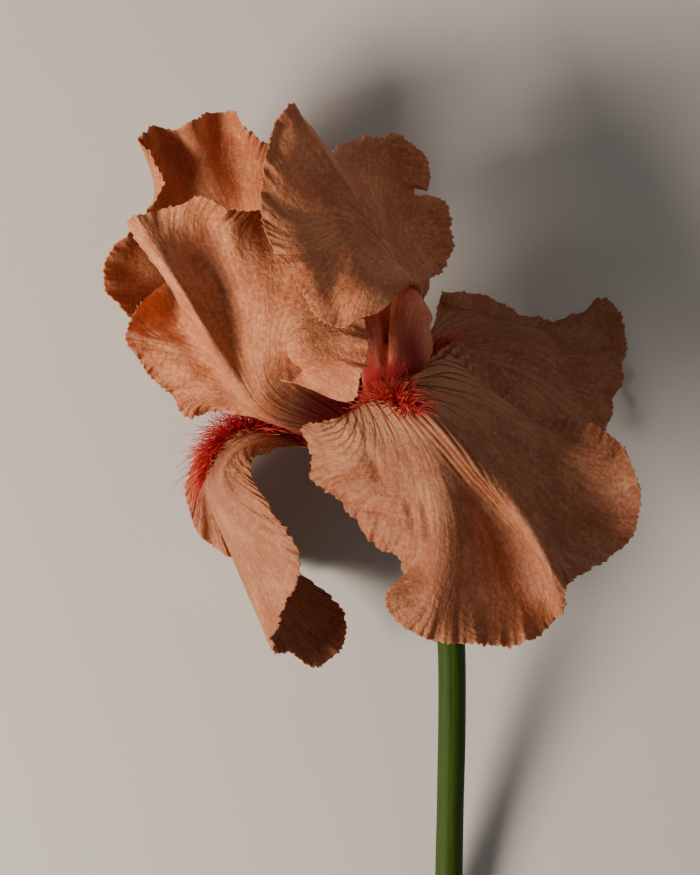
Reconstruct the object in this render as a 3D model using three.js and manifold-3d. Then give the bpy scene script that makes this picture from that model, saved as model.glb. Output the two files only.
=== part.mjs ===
// A bearded iris bloom on its cut stem, laid down on a table.
// Millimetres. +Z points up from the table, +Y towards the top of the bloom,
// and the cut end of the stem is at -Y.
//
// Each petal is a loft: a few rows of points run across it, from the claw at the throat to the
// ruffled margin, a smooth curve goes through each row, and another one crosses all the rows.
// A row holds places on the drawing sheet: [right, down, height]. "right" and "down" count
// quarter millimetres from the sheet's upper left corner, as the eye above the table sees them,
// and "height" is in millimetres above or below the throat of the flower.

import * as THREE from 'three';
import { mergeVertices } from 'three/addons/utils/BufferGeometryUtils.js';
import ManifoldModule from 'manifold-3d';

const { MathUtils } = THREE;

// Driving dimensions
const SHEET_STEP = 0.25;
const SHEET_CENTRE = { right: 350, down: 437.5 };
const EYE_HEIGHT = 800;
const TABLE_HEIGHT = -42;
const BLOOM_SHIFT = { x: -4.5, y: 28.2 };

const PETAL_THICKNESS = 0.8;
const CLAW_THICKNESS = 1.1;
const EDGE_THICKNESS = 0.62;
const TOUCHING_GAP = 0.3;

const TUBE_RADIUS = 2.6;
const TUBE_RIM_RADIUS = 5.5;
const OVARY_RADIUS = 4.6;
const STEM_RADIUS = 3.6;
const CLAW_RING_RADIUS = 4.8;
const FALL_CLAW_RISE = 0.75;
const STANDARD_CLAW_RISE = 0.55;

const BEARD_HALF_WIDTH = 4;
const BEARD_CORE_HEIGHT = 1.3;
const BEARD_HAIR_LENGTH = 4.6;
const BEARD_HAIR_RADIUS = 0.45;
const BEARD_HAIRS = 36;
const INNER_HAIR_SHARE = 0.4;

const SPATHE_THICKNESS = 0.7;

// The flower's own directions: its axis, its front and its side
const AXIS = new THREE.Vector3(-0.462, 0.870, 0.174).normalize();
const FRONT = new THREE.Vector3(0.082, -0.154, 0.985).normalize();
const SIDE = new THREE.Vector3().crossVectors(AXIS, FRONT).normalize();
const THROAT = [375, 450, 0];
// A hair is made along this line before it is turned to its own
const HAIR_LINE = new THREE.Vector3(0, 1, 0);

// Petal rows, from the haft to the margin and from the left edge to the right edge
const FRONT_FALL_ROWS = [
  [[355, 424, 15], [364, 414, 17], [378, 409, 18], [390, 402, 17], [402, 392, 11], [407, 385, 5]],
  [[346, 416, 23], [366, 405, 26], [390, 401, 29], [410, 400, 30], [422, 386, 18], [424, 364, 7]],
  [[337, 418, 26], [355, 428, 29], [378, 440, 31], [405, 450, 33], [430, 455, 35], [445, 450, 35],
    [455, 440, 36], [468, 420, 29], [475, 398, 19], [460, 374, 11], [433, 356, 7]],
  [[328, 420, 26], [345, 445, 28], [372, 480, 30], [415, 505, 33], [450, 540, 35], [492, 532, 27.5],
    [510, 505, 33], [540, 480, 25], [550, 440, 17], [503, 400, 9], [440, 350, 6]],
  [[318, 422, 26], [325, 450, 25], [352, 494, 27], [415, 548, 31], [435, 610, 35], [518, 600, 24.5],
    [552, 562, 34], [600, 525, 21], [595, 455, 19], [518, 420, 8], [446, 345, 5]],
  [[308, 422, 24], [302, 431, 22], [309, 452, 22], [312, 480, 22], [342, 506, 24], [375, 545, 26],
    [403, 566, 28], [384, 606, 34], [425, 639, 34], [478, 645, 32], [525, 644, 30], [562, 614, 27],
    [568, 588, 33], [600, 564, 22], [634, 535, 20], [639, 480, 22], [610, 433, 16], [572, 419, 10],
    [532, 412, 5], [500, 365, 2], [453, 340, 4]],
];

const LEFT_FALL_ROWS = [
  [[304, 447, 7], [300, 439, 0], [304, 433, -7]],
  [[294, 447, 8], [266, 441, 8], [243, 428, 1], [246, 424, -7], [264, 423, -13]],
  [[287, 446, 9], [253, 446, 13], [226, 460, 16], [213, 482, 11], [206, 480, 0], [201, 476, -10],
    [200, 466, -17], [210, 448, -20], [228, 432, -20]],
  [[277, 447, 11], [244, 451, 15], [232, 482, 18], [252, 532, 19], [232, 555, -3], [262, 590, -18],
    [262, 560, -32], [212, 505, -34], [200, 450, -27]],
  [[268, 454, 13], [257, 456, 15], [251, 464, 17.5], [254, 481, 21], [272, 509, 26], [294, 542, 27],
    [302, 572, 24], [284, 610, 15], [272, 648, -2], [292, 655, -14], [322, 667, -22],
    [347, 635, -28], [335, 600, -33], [290, 572, -38], [235, 560, -39], [196, 530, -36],
    [184, 487, -32]],
];

const BACK_FALL_ROWS = [
  [[413, 399, -5], [416, 386, -10], [411, 374, -15]],
  [[427, 390, -6], [443, 352, -15], [432, 328, -22]],
  [[436, 388, -6], [478, 394, -14], [512, 380, -21], [522, 347, -26], [518, 335, -30],
    [488, 320, -32], [438, 307, -26]],
  [[440, 390, -6], [500, 418, -14], [558, 420, -27], [578, 366, -34], [570, 340, -40],
    [518, 325, -38], [440, 297, -26]],
  [[442, 392, -6], [470, 412, -9], [508, 440, -14], [550, 462, -22], [590, 452, -30],
    [612, 412, -37], [625, 360, -42], [624, 325, -44], [605, 298, -44], [572, 317, -44],
    [530, 317, -42], [485, 295, -36], [443, 291, -27]],
];

const LEFT_STANDARD_ROWS = [
  [[303, 436, 6], [305, 426, 13], [361, 400, 6]],
  [[286, 428, 7], [266, 417, 13], [256, 405, 26], [276, 380, 30], [368, 374, 7]],
  [[276, 424, 7.5], [248, 411, 11], [218, 392, 15], [192, 355, 19], [190, 336, 22], [203, 326, 34],
    [230, 304, 29], [264, 302, 33], [291, 324, 37], [293, 357, 36.5], [328, 377, 21]],
  [[268, 417, 7.5], [212, 406, 10], [185, 392, 13], [140, 338, 19], [175, 300, 10], [158, 257, 32],
    [196, 234, 27], [258, 245, 28], [325, 285, 35], [334, 362, 38.5], [288, 382, 31]],
  [[259, 412, 7.5], [234, 404, 9], [205, 415, 7], [183, 416, 9], [172, 398, 12], [148, 375, 16],
    [125, 335, 20], [140, 303, 14], [165, 280, -2], [142, 246, 2], [129, 219, 29], [165, 208, 29],
    [205, 197, 34], [240, 211, 28], [275, 210, 20], [315, 240, 17], [348, 290, 31], [369, 332, 37],
    [364, 370, 41.5], [349, 402, 38], [280, 379, 33.5]],
];

const RIGHT_STANDARD_ROWS = [
  [[411, 342, 7], [417, 330, 0], [419, 337, -7]],
  [[415, 322, 10], [410, 292, 15], [404, 268, 13], [414, 274, 3], [421, 312, -7]],
  [[418, 304, 13], [406, 272, 23], [385, 255, 30], [362, 240, 32], [350, 222, 29], [357, 205, 21],
    [370, 203, 12], [387, 212, 4], [402, 225, -1], [418, 255, -6], [424, 297, -7]],
  [[421, 287, 21], [402, 278, 33], [370, 283, 39], [335, 280, 40], [296, 238, 37], [320, 150, 25],
    [345, 168, 6], [392, 160, -6], [403, 197, -6], [430, 232, -13], [427, 287, -9]],
  [[413, 280, 32], [404, 288, 37], [392, 303, 41], [378, 314, 43], [360, 319, 44], [336, 329, 43],
    [312, 312, 42], [290, 272, 41], [262, 225, 38], [266, 150, 34], [291, 104, 28],
    [318, 150, 8], [345, 143, -4], [385, 134, -8], [420, 148, -10], [430, 178, -12],
    [415, 192, -14], [448, 205, -18], [453, 245, -18], [446, 270, -14], [430, 279, -12]],
];

const BACK_STANDARD_ROWS = [
  [[318, 428, -16], [312, 410, -23], [336, 401, -19]],
  [[262, 390, -28], [230, 312, -41], [245, 255, -45.4], [290, 292, -42], [330, 360, -30]],
  [[226, 378, -31], [180, 312, -34], [145, 250, -28], [168, 208, -22], [203, 172, -19],
    [240, 175, -22], [285, 212, -31], [320, 270, -35], [335, 345, -31]],
  [[196, 374, -29], [168, 345, -27], [130, 318, -24], [102, 280, -22], [116, 246, -18],
    [143, 218, -13], [162, 180, -4], [140, 136, 5], [172, 130, -2], [188, 121, 3],
    [212, 113, -5], [236, 119, 1], [262, 138, -6], [292, 165, -14], [322, 195, -22],
    [350, 230, -29], [360, 270, -32], [350, 310, -32], [340, 340, -31]],
];

// The style's front arm, from its claw to its two-lobed crest
const STYLE_ARM_ROWS = [
  [[363, 402, 12], [376, 393, 11.5], [387, 388, 8]],
  [[364, 390, 14], [383, 381, 16.5], [403, 378, 12]],
  [[362, 378, 16], [378, 373, 20], [394, 371, 21.5], [410, 371, 20], [421, 371, 15]],
  [[362, 362, 18], [373, 345, 21], [380, 358, 21], [388, 359, 21.5], [397, 345, 23.5],
    [404, 325, 24], [415, 328, 21.5], [422, 348, 18], [428, 361, 14]],
  [[364, 352, 17], [366, 335, 19], [367, 318, 20], [376, 313, 21], [379, 325, 20], [385, 345, 20.5],
    [393.5, 332, 18.5], [392.5, 317, 18], [395, 301, 20], [403, 293, 21], [411, 290, 20.5],
    [421, 299, 19], [429, 310, 17], [432, 318, 16], [429, 328, 16], [433, 345, 14.5],
    [430, 357, 14]],
];

// The centre line from the throat down the tube, the ovary and the stem
const OVARY_LINE = [
  [375, 450, 0], [394.5, 487, -2], [415, 526, -4.2], [434, 569, -7.5], [447, 615, -11.5],
];
const STEM_LINE = [
  [447.7, 618, -11.9], [451.5, 650, -15], [452, 720, -22], [450.5, 800, -29],
  [449, 880, -34.6], [449, 962, -38.7],
];

// Places and directions

function place([right, down, height]) {
  const narrowing = SHEET_STEP * (1 - height / EYE_HEIGHT);
  return new THREE.Vector3(
    (right - SHEET_CENTRE.right) * narrowing,
    (SHEET_CENTRE.down - down) * narrowing,
    height,
  );
}

function outward(degrees) {
  const angle = MathUtils.degToRad(degrees);
  return new THREE.Vector3()
    .addScaledVector(FRONT, Math.cos(angle))
    .addScaledVector(SIDE, Math.sin(angle));
}

// A point at a height along the flower's axis and a radius from it
function flowerPoint(height, radius, degrees) {
  return place(THROAT).addScaledVector(AXIS, height).addScaledVector(outward(degrees), radius);
}

// Three points on an arc round the axis
function clawRow(height, radius, degrees, spread) {
  return [-1, 0, 1].map((side) => flowerPoint(height, radius, degrees + side * spread));
}

function smoothCurve(points) {
  return new THREE.CatmullRomCurve3(points, false, 'catmullrom', 0.5);
}

// Lofted surfaces

// grid[i][j]: i steps from the claw to the margin, j steps from the left edge to the right edge
function loftGrid(rows, lengthSteps, widthSteps) {
  const across = rows.map(smoothCurve);
  const grid = Array.from({ length: lengthSteps + 1 }, () => []);
  for (let j = 0; j <= widthSteps; j += 1) {
    const along = smoothCurve(across.map((curve) => curve.getPoint(j / widthSteps)));
    for (let i = 0; i <= lengthSteps; i += 1) {
      grid[i].push(along.getPoint(i / lengthSteps));
    }
  }
  return grid;
}

function gridNormal(grid, i, j) {
  const before = grid[Math.max(i - 1, 0)][j];
  const after = grid[Math.min(i + 1, grid.length - 1)][j];
  const left = grid[i][Math.max(j - 1, 0)];
  const right = grid[i][Math.min(j + 1, grid[0].length - 1)];
  const lengthwise = after.clone().sub(before);
  const widthwise = right.clone().sub(left);
  return widthwise.cross(lengthwise).normalize();
}

// The way each point of the grid faces, evened out with its neighbours
function gridNormals(grid) {
  let normals = grid.map((row, i) => row.map((point, j) => gridNormal(grid, i, j)));
  for (let pass = 0; pass < 2; pass += 1) {
    normals = normals.map((row, i) => row.map((normal, j) => {
      const sum = normal.clone().multiplyScalar(2);
      for (const [di, dj] of [[1, 0], [-1, 0], [0, 1], [0, -1]]) {
        const neighbour = normals[i + di]?.[j + dj];
        if (neighbour) {
          sum.add(neighbour);
        }
      }
      return sum.normalize();
    }));
  }
  return normals;
}

// A sheet that reaches the table flattens out on it instead of going through
function layOnTable(grid, thicknessAt) {
  const softness = 1.5;
  grid.forEach((row, i) => row.forEach((point, j) => {
    const thickness = thicknessAt(i / (grid.length - 1), j / (row.length - 1));
    const lowest = TABLE_HEIGHT + thickness / 2;
    const over = point.z - lowest;
    if (over < -softness) {
      point.z = lowest;
    } else if (over < softness) {
      point.z = lowest + (over + softness) ** 2 / (4 * softness);
    }
  }));
}

function indexedGeometry(positions, indices) {
  const geometry = new THREE.BufferGeometry();
  geometry.setAttribute('position', new THREE.Float32BufferAttribute(positions, 3));
  geometry.setIndex(indices);
  geometry.computeVertexNormals();
  return geometry;
}

// A closed body that follows the grid, with the same triangles on both of its faces
function sheetGeometry(grid, thicknessAt) {
  const rows = grid.length;
  const columns = grid[0].length;
  const normals = gridNormals(grid);
  const positions = [];
  for (const side of [1, -1]) {
    for (let i = 0; i < rows; i += 1) {
      for (let j = 0; j < columns; j += 1) {
        const offset = side * thicknessAt(i / (rows - 1), j / (columns - 1)) / 2;
        positions.push(...grid[i][j].clone().addScaledVector(normals[i][j], offset));
      }
    }
  }
  const indices = [];
  const upper = (i, j) => i * columns + j;
  const lower = (i, j) => rows * columns + upper(i, j);
  const quad = (a, b, c, d) => indices.push(a, b, c, a, c, d);
  for (let i = 0; i < rows - 1; i += 1) {
    for (let j = 0; j < columns - 1; j += 1) {
      quad(upper(i, j), upper(i, j + 1), upper(i + 1, j + 1), upper(i + 1, j));
      quad(lower(i + 1, j + 1), lower(i, j + 1), lower(i, j), lower(i + 1, j));
    }
  }
  const rightEdge = columns - 1;
  const outerEdge = rows - 1;
  for (let i = 0; i < outerEdge; i += 1) {
    quad(upper(i, 0), upper(i + 1, 0), lower(i + 1, 0), lower(i, 0));
    const next = i + 1;
    quad(upper(next, rightEdge), upper(i, rightEdge), lower(i, rightEdge), lower(next, rightEdge));
  }
  for (let j = 0; j < rightEdge; j += 1) {
    quad(upper(0, j + 1), upper(0, j), lower(0, j), lower(0, j + 1));
    const next = j + 1;
    quad(upper(outerEdge, j), upper(outerEdge, next), lower(outerEdge, next), lower(outerEdge, j));
  }
  return indexedGeometry(positions, indices);
}

// Round bodies along a line

// Rings across the line, closed by a flat cap at each end
function roundGeometry(line, steps, sides, radiusAt) {
  const curve = smoothCurve(line);
  const positions = [];
  for (let i = 0; i <= steps; i += 1) {
    const centre = curve.getPoint(i / steps);
    const tangent = curve.getTangent(i / steps);
    const across = new THREE.Vector3().crossVectors(FRONT, tangent).normalize();
    const around = new THREE.Vector3().crossVectors(tangent, across);
    for (let k = 0; k < sides; k += 1) {
      const turn = (2 * Math.PI * k) / sides;
      const radius = radiusAt(i / steps, turn);
      positions.push(...centre.clone()
        .addScaledVector(across, radius * Math.cos(turn))
        .addScaledVector(around, radius * Math.sin(turn)));
    }
  }
  const indices = [];
  const ring = (i, k) => i * sides + (k % sides);
  for (let i = 0; i < steps; i += 1) {
    for (let k = 0; k < sides; k += 1) {
      indices.push(ring(i, k), ring(i, k + 1), ring(i + 1, k + 1));
      indices.push(ring(i, k), ring(i + 1, k + 1), ring(i + 1, k));
    }
  }
  for (let k = 1; k < sides - 1; k += 1) {
    indices.push(ring(0, 0), ring(0, k + 1), ring(0, k));
    indices.push(ring(steps, 0), ring(steps, k), ring(steps, k + 1));
  }
  return indexedGeometry(positions, indices);
}

// Fused bodies

const manifoldModule = await ManifoldModule();
manifoldModule.setup();
const { Manifold, Mesh } = manifoldModule;

function toManifold(geometry) {
  const shape = geometry.clone().deleteAttribute('normal').deleteAttribute('uv');
  const welded = mergeVertices(shape, 1e-4);
  return new Manifold(new Mesh({
    numProp: 3,
    vertProperties: new Float32Array(welded.attributes.position.array),
    triVerts: new Uint32Array(welded.index.array),
  }));
}

function fused(geometries) {
  const mesh = Manifold.union(geometries.map(toManifold)).getMesh();
  return indexedGeometry(Array.from(mesh.vertProperties), Array.from(mesh.triVerts));
}

// The same chances on each run
function seededRandom(seed) {
  let state = seed;
  return () => {
    state = (state * 16807) % 2147483647;
    return state / 2147483647;
  };
}

// Petals

const PETALS = {
  fall_front: {
    claw: [clawRow(FALL_CLAW_RISE, CLAW_RING_RADIUS, 30, 24), clawRow(5, 8.5, 28, 23)],
    rows: FRONT_FALL_ROWS, lengthSteps: 12, widthSteps: 40,
  },
  fall_left: {
    claw: [clawRow(FALL_CLAW_RISE, CLAW_RING_RADIUS, -90, -24), clawRow(5, 8.5, -93, -26)],
    rows: LEFT_FALL_ROWS, lengthSteps: 11, widthSteps: 32,
  },
  fall_back: {
    claw: [clawRow(FALL_CLAW_RISE, CLAW_RING_RADIUS, 150, 24), clawRow(5, 8.5, 143, 26)],
    rows: BACK_FALL_ROWS, lengthSteps: 9, widthSteps: 24,
  },
  standard_left: {
    claw: [clawRow(STANDARD_CLAW_RISE, CLAW_RING_RADIUS, -30, 24), clawRow(6, 7, -34, 26)],
    rows: LEFT_STANDARD_ROWS, lengthSteps: 11, widthSteps: 36,
  },
  standard_right: {
    claw: [clawRow(STANDARD_CLAW_RISE, CLAW_RING_RADIUS, 90, 24), clawRow(6, 7.5, 92, 22)],
    rows: RIGHT_STANDARD_ROWS, lengthSteps: 11, widthSteps: 40,
  },
  standard_back: {
    claw: [clawRow(STANDARD_CLAW_RISE, CLAW_RING_RADIUS, 210, -24), clawRow(6, 7, 208, -26)],
    rows: BACK_STANDARD_ROWS, lengthSteps: 9, widthSteps: 30,
  },
};

function petalRows({ claw, rows }) {
  return [...claw, ...rows.map((row) => row.map(place))];
}

// A petal is thickest at its claw and thinnest at its edges
function petalThickness(u, v) {
  const body = MathUtils.lerp(CLAW_THICKNESS, PETAL_THICKNESS, MathUtils.smoothstep(u, 0, 0.4));
  const towardsMargin = MathUtils.smoothstep(u, 0.75, 1);
  const towardsSide = 1 - MathUtils.smoothstep(Math.min(v, 1 - v), 0, 0.12);
  return MathUtils.lerp(body, EDGE_THICKNESS, Math.max(towardsMargin, towardsSide));
}

function petalGeometry(petal) {
  const grid = loftGrid(petalRows(petal), petal.lengthSteps, petal.widthSteps);
  layOnTable(grid, petalThickness);
  return sheetGeometry(grid, petalThickness);
}

// Beards

// The point at (u, v) on a petal, and the way its upper face looks there
function petalSpot(rows, u, v) {
  const at = (uu, vv) => smoothCurve(rows.map((row) => smoothCurve(row).getPoint(vv))).getPoint(uu);
  const step = 0.01;
  const lengthwise = at(u + step, v).sub(at(u - step, v));
  const widthwise = at(u, v + step).sub(at(u, v - step));
  const normal = widthwise.clone().cross(lengthwise).normalize();
  return { point: at(u, v), normal, lengthwise: lengthwise.normalize(), widthwise };
}

function beardGeometry(petal, beard) {
  const rows = petalRows(petal);
  const random = seededRandom(beard.seed);
  const lengthSteps = 6;
  const widthSteps = 4;
  const clearance = CLAW_THICKNESS / 2 + 1.4 * TOUCHING_GAP;
  const spot = (s, w) => {
    const u = MathUtils.lerp(beard.start, beard.end, s);
    const middle = petalSpot(rows, u, beard.middle);
    const perStep = middle.widthwise.length() / 0.02;
    const narrowing = 0.45 + 0.55 * Math.sqrt(Math.sin(Math.PI * (0.08 + 0.84 * s)));
    const reach = (BEARD_HALF_WIDTH * narrowing) / perStep;
    return petalSpot(rows, u, beard.middle + w * reach);
  };
  const grid = [];
  for (let i = 0; i <= lengthSteps; i += 1) {
    grid.push([]);
    for (let j = 0; j <= widthSteps; j += 1) {
      const { point, normal } = spot(i / lengthSteps, (2 * j) / widthSteps - 1);
      const height = clearance + BEARD_CORE_HEIGHT / 2;
      grid[i].push(point.addScaledVector(normal, beard.side * height));
    }
  }
  const core = sheetGeometry(grid, () => BEARD_CORE_HEIGHT);
  const hairs = [];
  for (let k = 0; k < BEARD_HAIRS; k += 1) {
    const s = (k + 0.5) / BEARD_HAIRS;
    const w = ((k * 0.618) % 1) * 1.5 - 0.75 + 0.1 * (random() - 0.5);
    const { point, normal, lengthwise, widthwise } = spot(s, w);
    const lean = normal.clone().multiplyScalar(beard.side)
      .addScaledVector(widthwise.normalize(), 0.9 * w)
      .addScaledVector(lengthwise, 0.5 + 0.3 * (random() - 0.5))
      .normalize();
    const rise = MathUtils.lerp(INNER_HAIR_SHARE, 1, MathUtils.smoothstep(s, 0, 0.6));
    const length = BEARD_HAIR_LENGTH * rise * (0.85 + 0.3 * random());
    const hair = new THREE.CylinderGeometry(0.12, BEARD_HAIR_RADIUS, length, 3, 1);
    hair.translate(0, length / 2, 0);
    hair.applyQuaternion(new THREE.Quaternion().setFromUnitVectors(HAIR_LINE, lean));
    const rootHeight = clearance + BEARD_CORE_HEIGHT * 0.35;
    const root = point.addScaledVector(normal, beard.side * rootHeight);
    hair.translate(root.x, root.y, root.z);
    hairs.push(hair);
  }
  return fused([core, ...hairs]);
}

const BEARDS = {
  beard_front: { petal: 'fall_front', start: 0.28, end: 0.5, middle: 0.42, side: -1, seed: 11 },
  beard_left: { petal: 'fall_left', start: 0.3, end: 0.6, middle: 0.5, side: 1, seed: 23 },
  beard_back: { petal: 'fall_back', start: 0.28, end: 0.52, middle: 0.5, side: -1, seed: 37 },
};

// Style and stamens

// Turns the rows about the flower's axis: an arm leans to one side over its first three rows
function turnedRows(rows, { clawTurn, tipTurn, lift }) {
  const throat = place(THROAT);
  return rows.map((row, k) => {
    const share = Math.min(1, k / 3);
    const radians = MathUtils.degToRad(MathUtils.lerp(clawTurn, tipTurn, share));
    return row.map((point) => point.clone()
      .sub(throat)
      .applyAxisAngle(AXIS, radians)
      .add(throat)
      .addScaledVector(AXIS, lift * share));
  });
}

const STYLE_ARMS = [
  { clawTurn: 0, tipTurn: 0, lift: 0 },
  { clawTurn: -120, tipTurn: -158, lift: 10 },
  { clawTurn: 120, tipTurn: 84, lift: 0 },
];

function styleGeometry() {
  const claw = [clawRow(0.8, 1.6, 30, 48), clawRow(7, 5.2, 34, 34)];
  const frontArm = [...claw, ...STYLE_ARM_ROWS.map((row) => row.map(place))];
  const arms = STYLE_ARMS.map((arm) => {
    const grid = loftGrid(turnedRows(frontArm, arm), 8, 16);
    return sheetGeometry(grid, (u, v) => Math.min(petalThickness(u, v), PETAL_THICKNESS));
  });
  const column = [flowerPoint(TOUCHING_GAP, 0, 0), flowerPoint(3.2, 0, 0)];
  return fused([roundGeometry(column, 2, 12, () => 2.1), ...arms]);
}

const STAMENS = {
  stamen_front: { clawAngle: 30, tipAngle: 32, lift: 0 },
  stamen_left: { clawAngle: -90, tipAngle: -97, lift: 2.6 },
  stamen_back: { clawAngle: 150, tipAngle: 117, lift: 0 },
};

function stamenGeometry({ clawAngle, tipAngle, lift }) {
  const angle = (share) => MathUtils.lerp(clawAngle, tipAngle, share);
  const filament = [
    flowerPoint(0.55, 3.3, angle(0)),
    flowerPoint(3.4, 4.7, angle(0.4)),
    flowerPoint(6.8 + 0.5 * lift, 7.2, angle(0.8)),
    flowerPoint(10 + lift, 10, angle(1)),
  ];
  const anther = [
    flowerPoint(9.2 + lift, 9.2, angle(1)),
    flowerPoint(12.6 + 1.3 * lift, 12.6, angle(1)),
    flowerPoint(15.2 + 1.6 * lift, 16, angle(1)),
  ];
  const antherRadius = (t) => {
    const along = MathUtils.clamp(t, 0.02, 0.98);
    return 0.55 + 0.5 * Math.sqrt(Math.sin(Math.PI * along));
  };
  return fused([
    roundGeometry(filament, 5, 6, () => 0.5),
    roundGeometry(anther, 5, 6, antherRadius),
  ]);
}

// Stem, ovary and spathe

function ovaryRadius(t, turn) {
  const cup = (TUBE_RIM_RADIUS - TUBE_RADIUS) * (1 - MathUtils.smoothstep(t, 0, 0.16));
  const body = (OVARY_RADIUS - TUBE_RADIUS) * MathUtils.smoothstep(t, 0.38, 0.62);
  const foot = (OVARY_RADIUS - STEM_RADIUS) * MathUtils.smoothstep(t, 0.75, 1);
  const ribs = 0.18 * Math.cos(6 * turn) * (body / (OVARY_RADIUS - TUBE_RADIUS));
  return TUBE_RADIUS + cup + body - foot + ribs;
}

function ovaryGeometry() {
  return roundGeometry(OVARY_LINE.map(place), 13, 12, ovaryRadius);
}

function stemGeometry() {
  const geometry = roundGeometry(STEM_LINE.map(place), 12, 14, () => STEM_RADIUS);
  const position = geometry.attributes.position;
  for (let k = 0; k < position.count; k += 1) {
    position.setZ(k, Math.max(position.getZ(k), TABLE_HEIGHT));
  }
  return geometry;
}

const SPATHE_VALVES = {
  spathe_outer: { angle: 200, halfWidth: 112, radius: 6.8, footRadius: 5.6, tip: 0.14 },
  spathe_inner: { angle: 20, halfWidth: 95, radius: 5.55, footRadius: 4.35, tip: 0.2 },
};

function spatheGeometry({ angle, halfWidth, radius, footRadius, tip }) {
  const curve = smoothCurve([...OVARY_LINE, STEM_LINE[1]].map(place));
  const foot = 0.9;
  const grid = [];
  const lengthSteps = 8;
  const widthSteps = 8;
  for (let i = 0; i <= lengthSteps; i += 1) {
    const s = i / lengthSteps;
    const t = MathUtils.lerp(foot, tip, s);
    const centre = curve.getPoint(t);
    const axis = curve.getTangent(t).negate();
    const middle = outward(angle);
    middle.addScaledVector(axis, -middle.dot(axis)).normalize();
    const reach = halfWidth * (1 - 0.94 * s ** 3);
    const ringRadius = MathUtils.lerp(footRadius, radius, MathUtils.smoothstep(s, 0, 0.3));
    grid.push([]);
    for (let j = 0; j <= widthSteps; j += 1) {
      const turn = MathUtils.degToRad(reach * ((2 * j) / widthSteps - 1));
      const spoke = middle.clone().applyAxisAngle(axis, turn);
      grid[i].push(centre.clone().addScaledVector(spoke, ringRadius));
    }
  }
  return sheetGeometry(grid, () => SPATHE_THICKNESS);
}

// Assembly

const FINISHES = {
  fall: { color: 0xd99c7b, roughness: 0.62 },
  standard: { color: 0xd9967a, roughness: 0.6 },
  beard: { color: 0xc8140f, roughness: 0.7 },
  style: { color: 0xd0603f, roughness: 0.55 },
  stamen: { color: 0xe8d9b8, roughness: 0.75 },
  stem: { color: 0x5b7a2f, roughness: 0.55 },
  ovary: { color: 0x7d9440, roughness: 0.6 },
  spathe: { color: 0x98a05c, roughness: 0.7 },
};

const bloom = new THREE.Group();
bloom.name = 'iris_bloom';

function addPiece(name, geometry, finish) {
  const material = new THREE.MeshStandardMaterial({ metalness: 0, ...FINISHES[finish] });
  const mesh = new THREE.Mesh(geometry, material);
  mesh.name = name;
  bloom.add(mesh);
}

addPiece('stem', stemGeometry(), 'stem');
addPiece('ovary', ovaryGeometry(), 'ovary');
for (const [name, valve] of Object.entries(SPATHE_VALVES)) {
  addPiece(name, spatheGeometry(valve), 'spathe');
}
for (const [name, petal] of Object.entries(PETALS)) {
  addPiece(name, petalGeometry(petal), name.split('_')[0]);
}
for (const [name, beard] of Object.entries(BEARDS)) {
  addPiece(name, beardGeometry(PETALS[beard.petal], beard), 'beard');
}
addPiece('style', styleGeometry(), 'style');
for (const [name, stamen] of Object.entries(STAMENS)) {
  addPiece(name, stamenGeometry(stamen), 'stamen');
}

bloom.position.set(BLOOM_SHIFT.x, BLOOM_SHIFT.y, -TABLE_HEIGHT);

const group = new THREE.Group();
group.name = 'iris';
group.add(bloom);

export default group;
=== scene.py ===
"""The looks of a bearded iris bloom that lies on a pale table.

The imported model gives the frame: metres, +Z up from the table, +Y towards the top of the bloom.
Every petal is a loft over the same rows of points as its CAD solid, with many more steps. Fine
relief is then laid on it: crimped and toothed margins, pleats along the veins and folds.
"""

import logging
import math
from abc import ABC, abstractmethod
from dataclasses import dataclass, field
from enum import Enum, IntEnum
from typing import ClassVar

import bpy
import numpy as np
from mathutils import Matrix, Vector


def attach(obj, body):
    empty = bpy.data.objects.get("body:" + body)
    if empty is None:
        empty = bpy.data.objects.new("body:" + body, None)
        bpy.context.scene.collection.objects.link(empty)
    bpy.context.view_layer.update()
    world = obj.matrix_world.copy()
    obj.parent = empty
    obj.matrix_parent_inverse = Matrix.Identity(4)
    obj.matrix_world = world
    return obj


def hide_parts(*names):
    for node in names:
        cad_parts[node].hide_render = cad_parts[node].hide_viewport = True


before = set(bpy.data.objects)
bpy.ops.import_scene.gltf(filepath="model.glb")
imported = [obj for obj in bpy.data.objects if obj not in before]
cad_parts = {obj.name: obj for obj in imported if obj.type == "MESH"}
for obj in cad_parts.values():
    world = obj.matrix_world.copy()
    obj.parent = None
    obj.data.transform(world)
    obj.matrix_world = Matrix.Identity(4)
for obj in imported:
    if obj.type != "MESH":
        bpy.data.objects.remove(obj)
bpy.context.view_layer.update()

Array = np.ndarray
Colour = tuple[float, float, float]
Place = tuple[float, float, float]
Span = tuple[float, float]
Row = list[Place]
Socket = bpy.types.NodeSocket
Values = dict[str | int, object]

LOG = logging.getLogger("iris")
MILLIMETRE = 0.001

# The drawing sheet: places are (right, down, height), as the eye above the table sees them.
# right and down count quarter millimetres, and height is in millimetres over the throat.
SHEET_STEP = 0.25
SHEET_CENTRE = (350.0, 437.5)
EYE_HEIGHT = 800.0
TABLE_HEIGHT = -42.0
BLOOM_SHIFT = (-4.5, 28.2)


def on_sheet(places: list[Place]) -> Array:
    """Turns places on the drawing sheet into points.

    A point is (right, -down) from the sheet's centre, times the step, times 1 - height / eye
    height, which keeps it on the eye's line of sight.

    Args:
        places: rows of (right, down, height).

    Returns:
        Points in millimetres about the sheet's centre, heights over the throat.
    """
    table = np.asarray(places, float)
    narrowing = SHEET_STEP * (1 - table[:, 2] / EYE_HEIGHT)
    return np.stack([
        (table[:, 0] - SHEET_CENTRE[0]) * narrowing,
        (SHEET_CENTRE[1] - table[:, 1]) * narrowing,
        table[:, 2],
    ], axis=1)


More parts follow.
